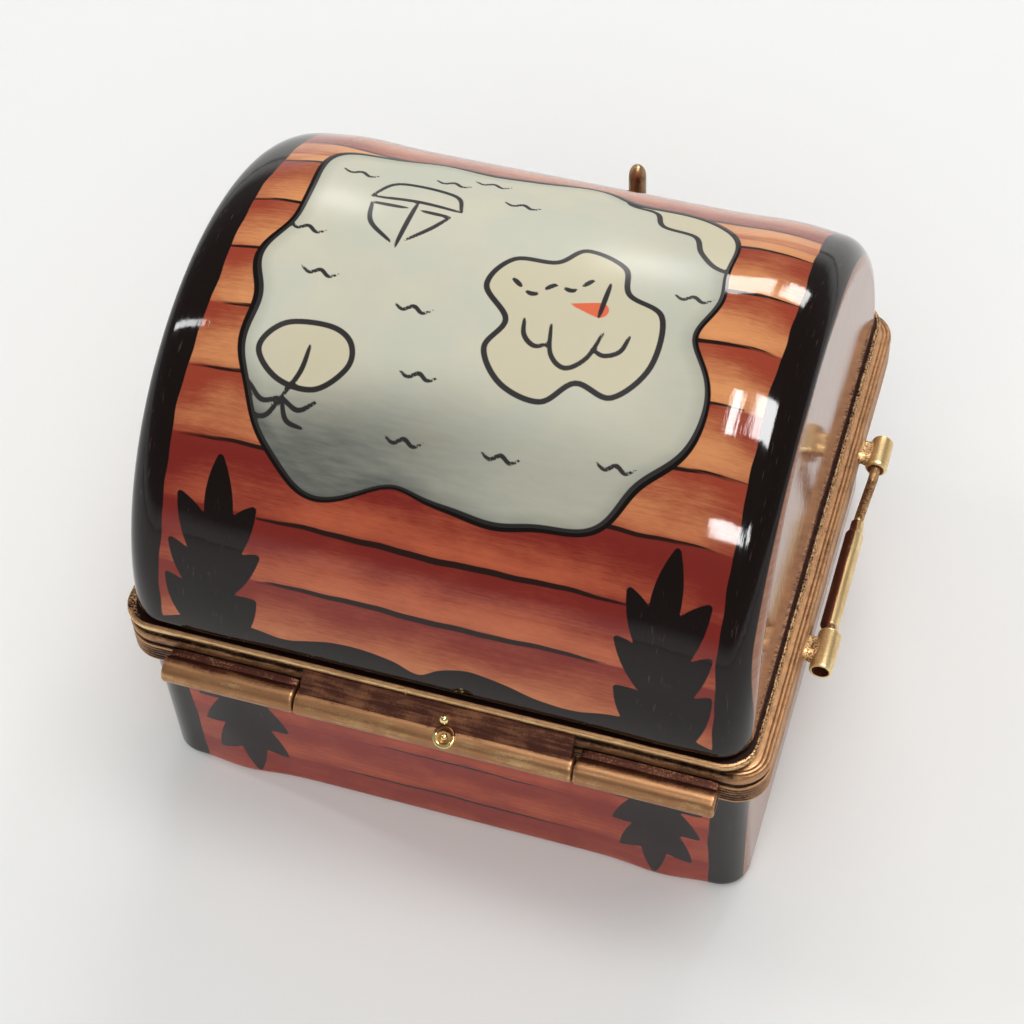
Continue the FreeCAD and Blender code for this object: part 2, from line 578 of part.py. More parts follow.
def bent_path(points, radius):
    """Join points with straight runs and tangent arcs of one radius."""
    edges = []
    start = points[0]
    for before, corner, after in zip(points, points[1:], points[2:]):
        arriving = (corner - before).normalize()
        leaving = (after - corner).normalize()
        turn = arriving.getAngle(leaving)
        setback = radius * math.tan(turn / 2)
        first, last = corner - arriving * setback, corner + leaving * setback
        bisector = (leaving - arriving).normalize()
        middle = corner + bisector * (radius / math.cos(turn / 2) - radius)
        edges.append(Part.LineSegment(start, first).toShape())
        edges.append(Part.Arc(first, middle, last).toShape())
        start = last
    edges.append(Part.LineSegment(start, points[-1]).toShape())
    return Part.Wire(edges)


def make_bail(label, end):
    """Make the bent wire: a tail in each ear, two sloping legs and a bar through the grip."""
    x, ear_z = value(f"{end} * {EAR_X}"), value(EAR_Z)
    grip_z = ear_z - value("sizes.bail_drop")
    mouth = value("(sizes.ear_spread - sizes.ear_length) / 2")
    bend = mouth - value("sizes.wire_shoulder")
    foot = value("sizes.grip_length / 2 + sizes.grip_lead")
    spots = [(mouth + value("sizes.wire_tail"), ear_z), (bend, ear_z), (foot, grip_z)]
    front = [FreeCAD.Vector(x, -y, z) for y, z in spots]
    back = [FreeCAD.Vector(x, y, z) for y, z in reversed(spots)]
    path = bent_path(front + back, value("sizes.wire_bend"))
    radius = value("sizes.wire_diameter / 2")
    ring = Part.Wire(Part.Circle(front[0], FreeCAD.Vector(0, 1, 0), radius).toShape())
    wire = doc.addObject("Part::Feature", label)
    wire.Shape = path.makePipeShell([ring], True, False)
    wire.Placement = FreeCAD.Placement()
    expected = math.pi * radius ** 2 * path.Length
    if abs(wire.Shape.Volume / expected - 1) > WIRE_VOLUME_SHARE:
        raise RuntimeError(f"{label} isn't the volume of its wire")
    return name_piece(wire, label)


def make_grip(label, end):
    """Make the grip: a sleeve on the wire with a necked shoulder at each end."""
    bore, body, neck = WIRE_BORE, "sizes.grip_diameter / 2", "sizes.grip_neck_diameter / 2"
    half = "sizes.grip_length / 2"
    step = f"({half} - sizes.grip_neck_length)"
    full = f"({step} - sizes.grip_shoulder)"
    upper = ((bore, half), (neck, half), (neck, step), (body, full))
    lower = [(radius, f"-{height}") for radius, height in reversed(upper)]
    profile = list(upper) + lower
    spot = (f"{end} * {EAR_X}", "0", f"{EAR_Z} - sizes.bail_drop")
    return turned_piece(label, profile, spot, TILTS["Y"])


def make_clasp():
    """Make the bracket on the lid rim, the bar with its forked tongue, and the stud on the base rim."""
    x = "sizes.clasp_shift"
    bar = "sizes.clasp_bar_diameter / 2"
    thickness = f"({FLANGE_TOP} - {LID_LIP_FOOT})"
    eye = rod("bracket_eye_disc", "sizes.bracket_eye / 2", thickness, (x, CLASP_Y, LID_LIP_FOOT), "Z")
    arm = block("bracket_arm", (f"{x} - sizes.bracket_width / 2", CLASP_Y, LID_LIP_FOOT),
                ("sizes.bracket_width", "sizes.clasp_reach", thickness))
    hole = rod("bracket_hole", f"{bar} + sizes.bond_gap", f"{thickness} + 2 * sizes.cut_overrun",
               (x, CLASP_Y, f"{LID_LIP_FOOT} - sizes.cut_overrun"), "Z")
    name_piece(cut("clasp_bracket", fuse("bracket_body", eye, arm), hole), "clasp_bracket")
    make_clasp_bar(x, bar)
    shank, flange, head = "sizes.stud_diameter / 2", "sizes.stud_flange / 2", "sizes.stud_head / 2"
    head_foot = "(sizes.clasp_reach + sizes.tongue_thickness / 2 + sizes.stud_head_gap)"
    head_top = f"({head_foot} + sizes.stud_head_height)"
    step = "sizes.stud_flange_height"
    profile = (("0", "0"), (flange, "0"), (flange, step), (shank, step), (shank, head_foot),
               (head, head_foot), (head, head_top), ("0", head_top))
    turned_piece("clasp_stud", profile, (x, f"-{HALF_DEPTH}", STUD_Z), TILTS["-Y"],
                 ((head_top, "sizes.stud_head_round"),))


def make_clasp_bar(x, radius):
    """Make the upright bar: a rounded tip, a flat tongue below the bracket and a slot for the stud."""
    body = doc.addObject("PartDesign::Body", "clasp_bar")
    foot = f"({STUD_Z} - sizes.tongue_drop)"
    tip = f"({FLANGE_TOP} + sizes.clasp_tip_height)"
    shaft_foot = f"({STUD_Z} + sizes.stud_head / 2 + sizes.stud_clearance)"
    ring = new_sketch(body, "bar_ring", "XY_Plane", shaft_foot)
    draw_circle(ring, x, CLASP_Y, radius)
    shaft = pad(body, ring, f"{tip} - {shaft_foot}")
    doc.recompute()
    shaft = fillet(body, shaft, level_edges(shaft.Shape, value(tip)), "sizes.clasp_tip_round")
    front = f"-({CLASP_Y}) + sizes.tongue_thickness / 2"
    outline = new_sketch(body, "tongue_outline", "XZ_Plane", f"-({CLASP_Y}) - sizes.tongue_thickness / 2")
    left, right = f"{x} - sizes.tongue_width / 2", f"{x} + sizes.tongue_width / 2"
    slope = "sizes.tongue_corner"
    near, far = f"{left} + {slope}", f"{right} - {slope}"
    low, high = f"{foot} + {slope}", f"{LID_RIM_FOOT} - {slope}"
    draw_polygon(outline, ((left, low), (near, foot), (far, foot), (right, low), (right, high),
                           (far, LID_RIM_FOOT), (near, LID_RIM_FOOT), (left, high)))
    pad(body, outline, "sizes.tongue_thickness")
    half_slot = "(sizes.stud_diameter / 2 + sizes.stud_clearance)"
    reach = f"{front} + {radius} + sizes.cut_overrun"
    depth = f"2 * {radius} + sizes.tongue_thickness + 2 * sizes.cut_overrun"
    eye = new_sketch(body, "fork_eye", "XZ_Plane", reach)
    draw_circle(eye, x, STUD_Z, half_slot)
    pocket(body, eye, depth)
    slot = new_sketch(body, "fork_slot", "XZ_Plane", reach)
    left, right, below = f"{x} - {half_slot}", f"{x} + {half_slot}", f"{foot} - sizes.cut_overrun"
    draw_polygon(slot, ((left, below), (right, below), (right, STUD_Z), (left, STUD_Z)))
    pocket(body, slot, depth)
    return name_piece(body, "clasp_bar")


def check_document():
    """Stop unless every object is up to date and every piece is one sound solid."""
    doc.recompute()
    for item in doc.Objects:
        if "Invalid" in item.State or "Error" in item.State:
            raise RuntimeError(f"{item.Name} failed: {item.State}")
    for piece in pieces:
        shape = piece.Shape
        if shape.isNull() or not shape.isValid() or len(shape.Solids) != 1:
            raise RuntimeError(f"{piece.Label} isn't one sound solid")


make_base_porcelain()
make_base_rim()
make_lid_rim()
make_lid_porcelain()
make_hinge()
for end, name in ((-1, "left"), (1, "right")):
    make_ear(f"{name}_ear_front", end, -1)
    make_ear(f"{name}_ear_back", end, 1)
    make_bail(f"{name}_bail", end)
    make_grip(f"{name}_grip", end)
make_clasp()
check_document()
os.makedirs("parts", exist_ok=True)
for piece in pieces:
    piece.Shape.exportStep(f"parts/{piece.Label}.step")
    print(piece.Label, round(piece.Shape.Volume, 2))
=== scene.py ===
"""Dresses a hinged porcelain treasure chest box: painted glaze, aged brass mounts and a plain studio.

Sizes are in millimetres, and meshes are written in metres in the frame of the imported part: X along the
chest, +Y towards the hinge at the back, Z up from the foot.
"""

import logging
import math
from dataclasses import astuple, dataclass
from enum import Enum
from typing import Mapping, Optional, Sequence, Union

import bmesh
import bpy
import numpy as np
from mathutils import Matrix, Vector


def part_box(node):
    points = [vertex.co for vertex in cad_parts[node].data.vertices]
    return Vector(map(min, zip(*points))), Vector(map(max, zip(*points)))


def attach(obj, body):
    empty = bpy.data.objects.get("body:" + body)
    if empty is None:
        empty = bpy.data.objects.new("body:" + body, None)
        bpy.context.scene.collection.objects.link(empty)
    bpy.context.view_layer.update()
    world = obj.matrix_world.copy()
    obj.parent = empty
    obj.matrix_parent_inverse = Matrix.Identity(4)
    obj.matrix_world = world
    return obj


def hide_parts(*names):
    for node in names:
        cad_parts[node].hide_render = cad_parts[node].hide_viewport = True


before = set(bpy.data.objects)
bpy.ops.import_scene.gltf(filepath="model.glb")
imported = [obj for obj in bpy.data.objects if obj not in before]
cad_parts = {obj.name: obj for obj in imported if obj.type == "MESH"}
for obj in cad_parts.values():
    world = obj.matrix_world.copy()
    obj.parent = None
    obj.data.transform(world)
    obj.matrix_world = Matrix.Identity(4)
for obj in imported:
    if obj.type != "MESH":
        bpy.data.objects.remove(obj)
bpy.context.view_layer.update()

LOG = logging.getLogger("chest")
MM = 0.001
FIELD_REACH = 1.5
END_WARMTH = 2.0
WANDER_WAVES = ((0.55, 0.31, 1.0), (0.3, 0.83, 2.3), (0.15, 1.9, 4.1))
SMOOTH_ANGLE = math.radians(38.0)

Array = np.ndarray
Colour = tuple[float, float, float, float]
Material = bpy.types.Material
Socket = bpy.types.NodeSocket
SocketValue = Union[Socket, float, Sequence[float]]


class Body(str, Enum):
    """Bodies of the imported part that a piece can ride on."""

    BASE = "base"
    LID = "lid"
    LEFT_HANDLE = "left_handle"
    RIGHT_HANDLE = "right_handle"


class Slot(str, Enum):
    """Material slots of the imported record."""

    BASE_GLAZE = "base_glaze"
    LID_GLAZE = "lid_glaze"
    RIM = "rim_brass"
    HINGE = "hinge_brass"
    HANDLE = "handle_brass"
    CLASP = "clasp_brass"
    BRIGHT = "bright_brass"


class Layer(str, Enum):
    """Values that a mesh keeps at its points for its paint or its metal."""

    BRUSH = "brush"
    TONE = "tone"
    # Warmth also carries painted light: the lid's crown is painted in the lighter tan, as if lit from above.
    WARMTH = "warmth"
    BLACK = "black"
    LINE = "line"
    PANEL = "panel"
    SHADE = "shade"
    LAND = "land"
    INK = "ink"
    MARK = "mark"
    SHEEN = "sheen"
    # Wear of the brass, which on the hinge, the grip, the rivet and the flange's crevice also carries painted
    # shade.
    WEAR = "wear"
    GRAIN = "grain"


class End(float, Enum):
    """Ends of the chest, by the sign of X."""

    LEFT = -1.0
    RIGHT = 1.0


class Wall(int, Enum):
    """Stretches of a rounded rectangle, in the order in which it is walked."""

    BACK = 0
    CORNER = 1
    END = 2
    FRONT = 3


def box_mm(node: str) -> tuple[Array, Array]:
    """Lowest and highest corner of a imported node's box, in millimetres."""
    low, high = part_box(node)
    return np.array(low) / MM, np.array(high) / MM


def srgb(red: int, green: int, blue: int) -> Colour:
    """Turn an eight-bit display colour into a linear one.

    Args:
        red: red, 0 to 255.
        green: green, 0 to 255.
        blue: blue, 0 to 255.

    Returns:
        Linear colour with full alpha.
    """
    shares = np.array([red, green, blue]) / 255.0
    linear = np.where(shares <= 0.04045, shares / 12.92, ((shares + 0.055) / 1.055) ** 2.4)
    return (float(linear[0]), float(linear[1]), float(linear[2]), 1.0)


def quarter_fall(distance: Array, run: float, fall: float) -> Array:
    """Fall along a quarter ellipse, clamped to its run: fall * (1 - sqrt(1 - (distance / run) ** 2))."""
    share = np.clip(distance / run, 0.0, 1.0)
    return fall * (1.0 - np.sqrt(1.0 - share**2))


def hump(value: Array, middle: float, width: float) -> Array:
    """Bell curve exp(-((value - middle) / width) ** 2)."""
    return np.exp(-(((value - middle) / width) ** 2))


def ease(value: Array, low: float, high: float) -> Array:
    """Smooth step from 0 at low to 1 at high, as 3 s^2 - 2 s^3."""
    share = np.clip((value - low) / (high - low), 0.0, 1.0)
    return share * share * (3.0 - 2.0 * share)


def wander(along: Array, size: float, phase: float) -> Array:
    """Hand wobble of a brush line: a sum of three sine waves of unrelated lengths.

    Args:
        along: distance along the line.
        size: how far it wanders.
        phase: shift that makes one line differ from the next.

    Returns:
        Sideways offset.
    """
    return size * sum(share * np.sin(along * rate + turn * phase) for share, rate, turn in WANDER_WAVES)


def smooth_path(points: Sequence[tuple[float, float]], steps: int = 8, closed: bool = False) -> Array:
    """Run a Catmull-Rom curve through points.

    Each span is the cubic through its two ends with the slope of its neighbours' chord at each end.

    Args:
        points: points that the curve passes through.
        steps: samples in each span.
        closed: whether the curve returns to its start.

    Returns:
        Sampled points, one row each.
    """
    knots = np.array(points, float)
    if closed:
        knots = np.vstack([knots[-1], knots, knots[0], knots[1]])
    else:
        knots = np.vstack([2 * knots[0] - knots[1], knots, 2 * knots[-1] - knots[-2]])
    before, start, end, after = knots[:-3], knots[1:-2], knots[2:-1], knots[3:]
    t = np.linspace(0.0, 1.0, steps, endpoint=False)[None, :, None]
    before, start, end, after = (k[:, None, :] for k in (before, start, end, after))
    curve = 0.5 * (2 * start + (end - before) * t + (2 * before - 5 * start + 4 * end - after) * t**2
                   + (3 * start - before - 3 * end + after) * t**3)
    return np.vstack([curve.reshape(-1, 2), knots[-2]])


def stroke_field(x: Array, y: Array, path: Array, half_widths: Array) -> Array:
    """Signed distance to a brush stroke: distance to its path less its half width there.

    Args:
        x: first surface coordinate of each point.
        y: second surface coordinate of each point.
        path: points of the stroke's middle, one row each.
        half_widths: half width at each point of the path.

    Returns:
        Negative inside the stroke, never above FIELD_REACH.
    """
    field = np.full(x.shape, FIELD_REACH)
    margin = FIELD_REACH + half_widths.max()
    low, high = path.min(axis=0) - margin, path.max(axis=0) + margin
    near = (x > low[0]) & (x < high[0]) & (y > low[1]) & (y < high[1])
    px, py, best = x[near], y[near], field[near]
    for start, end, wide, narrow in zip(path[:-1], path[1:], half_widths[:-1], half_widths[1:]):
        run = end - start
        length = max(float(run @ run), 1e-9)
        share = np.clip(((px - start[0]) * run[0] + (py - start[1]) * run[1]) / length, 0.0, 1.0)
        gap = np.hypot(px - start[0] - share * run[0], py - start[1] - share * run[1])
        best = np.minimum(best, gap - wide - share * (narrow - wide))
    field[near] = best
    return field


def region_field(x: Array, y: Array, outline: Array) -> Array:
    """Signed distance to a closed outline, negative inside, by the even-odd rule.

    Args:
        x: first surface coordinate of each point.
        y: second surface coordinate of each point.
        outline: closed outline, one row for each point, the last equal to the first.

    Returns:
        Signed distance, within FIELD_REACH of the outline.
    """
    inside = np.zeros(x.shape, bool)
    for (x0, y0), (x1, y1) in zip(outline[:-1], outline[1:]):
        crosses = (y0 > y) != (y1 > y)
        rise = y1 - y0 if y1 != y0 else 1.0
        inside ^= crosses & (x < x0 + (y - y0) / rise * (x1 - x0))
    gap = stroke_field(x, y, outline, np.zeros(len(outline)))
    return np.where(inside, -gap, gap)


def tapered(count: int, width: float, ends: float = 0.25) -> Array:
    """Half widths of a stroke that thins along half a sine wave to a share of its width at both ends."""
    swell = np.sin(np.linspace(0.0, math.pi, count)) ** 0.5
    return 0.5 * width * (ends + (1.0 - ends) * swell)


def rounded_rectangle(half_length: Array, half_depth: Array, corner: Array, side_steps: int, end_steps: int,
                      corner_steps: int) -> tuple[Array, Array, Array]:
    """Walk rounded rectangles of several sizes in step, anticlockwise from the middle of the back wall.

    A straight wall is a line between corner centres pushed out by the corner radius, and a corner is a
    quarter circle about its centre.

    Args:
        half_length: half size along X of each rectangle.
        half_depth: half size along Y of each rectangle.
        corner: corner radius of each rectangle.
        side_steps: points on the back wall and on the front wall.
        end_steps: points on each end wall.
        corner_steps: points on each corner.

    Returns:
        Points with one row for each rectangle, each column's Wall, and its outward angle.
    """
    quarter = 0.5 * math.pi
    signs = np.array([(1, 1), (-1, 1), (-1, -1), (1, -1), (1, 1)])
    order = ((Wall.BACK, side_steps), (Wall.END, end_steps), (Wall.FRONT, side_steps), (Wall.END, end_steps))
    bend = np.linspace(0.0, quarter, corner_steps, endpoint=False)
    places, turns, walls = [], [], []
    for number, (wall, steps) in enumerate(order):
        start, end, angle = signs[number], signs[number + 1], (number + 1) % 4 * quarter
        share = np.linspace(0.0, 1.0, steps, endpoint=False)[:, None]
        places += [start + share * (end - start), np.tile(end, (corner_steps, 1))]
        turns += [np.full(steps, angle), angle + bend]
        walls += [np.full(steps, wall.value), np.full(corner_steps, Wall.CORNER.value)]
    (sign_x, sign_y), turn = np.concatenate(places).T, np.concatenate(turns)
    sizes = (half_length, half_depth, corner)
    length, depth, radius = (np.atleast_1d(size).astype(float)[:, None] for size in sizes)
    points = np.stack([sign_x * (length - radius) + radius * np.cos(turn),
                       sign_y * (depth - radius) + radius * np.sin(turn)], axis=-1)
    return points, np.concatenate(walls), turn


def raised(plan: Array, height: Array) -> Array:
    """Lift flat outlines, one row each, to a height for each row."""
    return np.concatenate([plan, np.broadcast_to(height[:, None, None], (*plan.shape[:2], 1))], axis=-1)


def brush_layer(along: Array, across: Array) -> Array:
    """Surface coordinates along and across the brush strokes, as vectors."""
    return np.stack([along, across, np.zeros_like(along)], axis=-1)


def angle_from(angle: Array, degrees: float) -> Array:
    """Signed turn from a direction in degrees to each angle in radians, from -pi to pi."""
    return np.angle(np.exp(1j * (angle - math.radians(degrees))))


@dataclass
class Skin:
    """A mesh in the making: points, quads, the finish of each quad, and values at the points."""

    points: Array
    faces: Array
    finishes: Array
    layers: dict[Layer, Array]

    @classmethod
    def of_grid(cls, grid: Array, wrap: bool = False, layers: Optional[Mapping[Layer, Array]] = None,
                finish: int = 0) -> "Skin":
        """Make a skin of one grid of points.

        Args:
            grid: points by row and column.
            wrap: whether the last column joins the first.
            layers: values at the points, by row and column.
            finish: number of the finish of all its quads.

        Returns:
            The skin.
        """
        rows, columns = grid.shape[:2]
        spans = columns if wrap else columns - 1
        row, column = np.meshgrid(np.arange(rows - 1), np.arange(spans), indexing="ij")
        here, above, beside = row * columns, (row + 1) * columns, (column + 1) % columns
        corners = (here + column, here + beside, above + beside, above + column)
        faces = np.stack([corner.ravel() for corner in corners], axis=-1)
        flat = {}
        for key, value in (layers or {}).items():
            flat[key] = value.reshape(rows * columns, -1) if value.ndim == 3 else value.ravel()
        return cls(grid.reshape(-1, 3), faces, np.full(len(faces), finish), flat)

    def joined(self, other: "Skin") -> "Skin":
        """Join another skin to this one, with values that one of them lacks left at zero.

        Args:
            other: the other skin.

        Returns:
            Both in one.
        """
        layers = {}
        for key, sample in {**self.layers, **other.layers}.items():
            shape = sample.shape[1:]
            parts = [skin.layers.get(key, np.zeros((len(skin.points), *shape))) for skin in (self, other)]
            layers[key] = np.concatenate(parts)
        faces = np.vstack([self.faces, other.faces + len(self.points)])
        finishes = np.concatenate([self.finishes, other.finishes])
        return Skin(np.vstack([self.points, other.points]), faces, finishes, layers)

    def welded(self, tolerance: float = 1e-4) -> "Skin":
        """Merge points that coincide, so that seams and poles are closed.

        Args:
            tolerance: size of the cells that count as one point.

        Returns:
            The skin with shared points.
        """
        keys = np.round(self.points / tolerance).astype(np.int64)
        _, first, number = np.unique(keys, axis=0, return_index=True, return_inverse=True)
        layers = {key: value[first] for key, value in self.layers.items()}
        return Skin(self.points[first], number.ravel()[self.faces], self.finishes, layers)

    def polygons(self) -> tuple[Array, Array, Array]:
        """Drop doubled corners from quads that touch a pole.

        Returns:
            Corner numbers in one row, where each face starts among them, and each face's finish.
        """
        kept = self.faces != np.roll(self.faces, 1, axis=1)
        sizes = kept.sum(axis=1)
        sound = sizes >= 3
        corners = self.faces[sound][kept[sound]]
        starts = np.concatenate([[0], np.cumsum(sizes[sound])[:-1]])
        return corners, starts, self.finishes[sound]

    def piece(self, name: str, body: Body, slot: Slot, materials: Sequence[Material],
              replaced: Sequence[str] = ()) -> None:
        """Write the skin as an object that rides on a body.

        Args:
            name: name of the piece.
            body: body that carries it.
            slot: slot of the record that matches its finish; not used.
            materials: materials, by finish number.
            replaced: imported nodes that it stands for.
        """
        whole = self.welded()
        corners, starts, finishes = whole.polygons()
        mesh = bpy.data.meshes.new(name)
        mesh.vertices.add(len(whole.points))
        mesh.vertices.foreach_set("co", (whole.points * MM).astype(np.float32).ravel())
        mesh.loops.add(len(corners))
        mesh.loops.foreach_set("vertex_index", corners.astype(np.int32))
        mesh.polygons.add(len(starts))
        mesh.polygons.foreach_set("loop_start", starts.astype(np.int32))
        mesh.polygons.foreach_set("material_index", finishes.astype(np.int32))
        mesh.update(calc_edges=True)
        for key, value in whole.layers.items():
            vector = value.ndim == 2
            layer = mesh.attributes.new(key.value, "FLOAT_VECTOR" if vector else "FLOAT", "POINT")
            layer.data.foreach_set("vector" if vector else "value", value.astype(np.float32).ravel())
        work = bmesh.new()
        work.from_mesh(mesh)
        bmesh.ops.recalc_face_normals(work, faces=work.faces)
        work.to_mesh(mesh)
        work.free()
        mesh.polygons.foreach_set("use_smooth", np.ones(len(mesh.polygons), bool))
        mesh.set_sharp_from_angle(angle=SMOOTH_ANGLE)
        for material in materials:
            mesh.materials.append(material)
        made = bpy.data.objects.new(name, mesh)
        bpy.context.scene.collection.objects.link(made)
        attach(made, body.value)
        if replaced:
            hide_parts(*replaced)
        LOG.info("%s: %d points, %d faces, on %s", name, len(whole.points), len(starts), body.value)


class NodeSheet:
    """Lays out the nodes of a material or of the world, with a short call for each kind."""

    def __init__(self, owner: Union[Material, bpy.types.World]) -> None:
        """Start an empty sheet.

        Args:
            owner: material or world that the nodes belong to.
        """
        self.owner = owner
        owner.use_nodes = True
        self.tree = owner.node_tree
        self.tree.nodes.clear()

    def put(self, socket: Socket, value: SocketValue) -> None:
        """Link a socket to another, or set its value."""
        if isinstance(value, Socket):
            self.tree.links.new(value, socket)
        else:
            socket.default_value = value

    def add(self, kind: str, inputs: Mapping[Union[str, int], SocketValue],
            **settings: object) -> bpy.types.Node:
        """Add a node.

        Args:
            kind: type name of the node.
            inputs: values or sockets by input name or number.
            settings: properties of the node.

        Returns:
            The node.
        """
        node = self.tree.nodes.new(kind)
        for key, value in settings.items():
            setattr(node, key, value)
        for key, value in inputs.items():
            self.put(node.inputs[key], value)
        return node

    def layer(self, layer: Layer, output: str = "Fac") -> Socket:
        """Read a value that the mesh keeps at its points."""
        return self.add("ShaderNodeAttribute", {}, attribute_name=layer.value).outputs[output]

    def place(self, *scale: float) -> Socket:
        """Object coordinates stretched by one scale or by one for each axis, in cells per metre."""
        coordinates = self.add("ShaderNodeTexCoord", {}).outputs["Object"]
        inputs = {"Vector": coordinates, "Scale": scale if len(scale) == 3 else scale * 3}
        return self.add("ShaderNodeMapping", inputs).outputs["Vector"]

    def brush(self, along: float, across: float) -> Socket:
        """Surface coordinates along and across the brush strokes, in cells per millimetre."""
        inputs = {"Vector": self.layer(Layer.BRUSH, "Vector"), "Scale": (along, across, 1.0)}
        return self.add("ShaderNodeMapping", inputs).outputs["Vector"]

    def noise(self, vector: Socket, detail: float = 3.0, roughness: float = 0.55) -> Socket:
        """Soft noise from 0 to 1."""
        inputs = {"Vector": vector, "Scale": 1.0, "Detail": detail, "Roughness": roughness}
        return self.add("ShaderNodeTexNoise", inputs).outputs["Fac"]

    def spread(self, value: SocketValue, low: float, high: float, start: float = 0.0,
               end: float = 1.0) -> Socket:
        """Carry a value smoothly from low..high to start..end."""
        inputs = {"Value": value, "From Min": low, "From Max": high, "To Min": start, "To Max": end}
        return self.add("ShaderNodeMapRange", inputs, interpolation_type="SMOOTHSTEP").outputs["Result"]

    def sway(self, noise: Socket, size: float) -> Socket:
        """Carry noise to a push of up to that size either way."""
        return self.spread(noise, 0.3, 0.7, -size, size)

    def inside(self, layer: Layer, edge: float) -> Socket:
        """Turn a signed distance into 1 inside and 0 outside, over an edge of that softness."""
        return self.spread(self.layer(layer), edge, -edge)

    def math(self, operation: str, first: SocketValue, second: SocketValue) -> Socket:
        """Work out one sum, product or the like."""
        return self.add("ShaderNodeMath", {0: first, 1: second}, operation=operation).outputs["Value"]

    def total(self, first: SocketValue, *others: SocketValue) -> Socket:
        """Add up numbers, in order."""
        for other in others:
            first = self.math("ADD", first, other)
        return first

    def mix(self, share: SocketValue, first: SocketValue, second: SocketValue) -> Socket:
        """Mix two colours."""
        return self.add("ShaderNodeMix", {0: share, 6: first, 7: second}, data_type="RGBA").outputs[2]

    def blend(self, share: SocketValue, first: SocketValue, second: SocketValue) -> Socket:
        """Mix two numbers."""
        return self.add("ShaderNodeMix", {0: share, 2: first, 3: second}, data_type="FLOAT").outputs[0]

    def bump(self, height: SocketValue, depth: float, under: Optional[Socket] = None) -> Socket:
        """Raise the surface by a height of 0 to 1 times a depth in metres."""
        inputs = {"Height": height, "Distance": depth, "Strength": 1.0}
        if under is not None:
            inputs["Normal"] = under
        return self.add("ShaderNodeBump", inputs).outputs["Normal"]

    def surface(self, **inputs: SocketValue) -> Material:
        """Add the shader and the material's output.

        Args:
            inputs: values or sockets by input name, with underscores for the spaces.

        Returns:
            The finished material.
        """
        named = {key.replace("_", " "): value for key, value in inputs.items()}
        shader = self.add("ShaderNodeBsdfPrincipled", named)
        self.add("ShaderNodeOutputMaterial", {"Surface": shader.outputs["BSDF"]})
        return self.owner


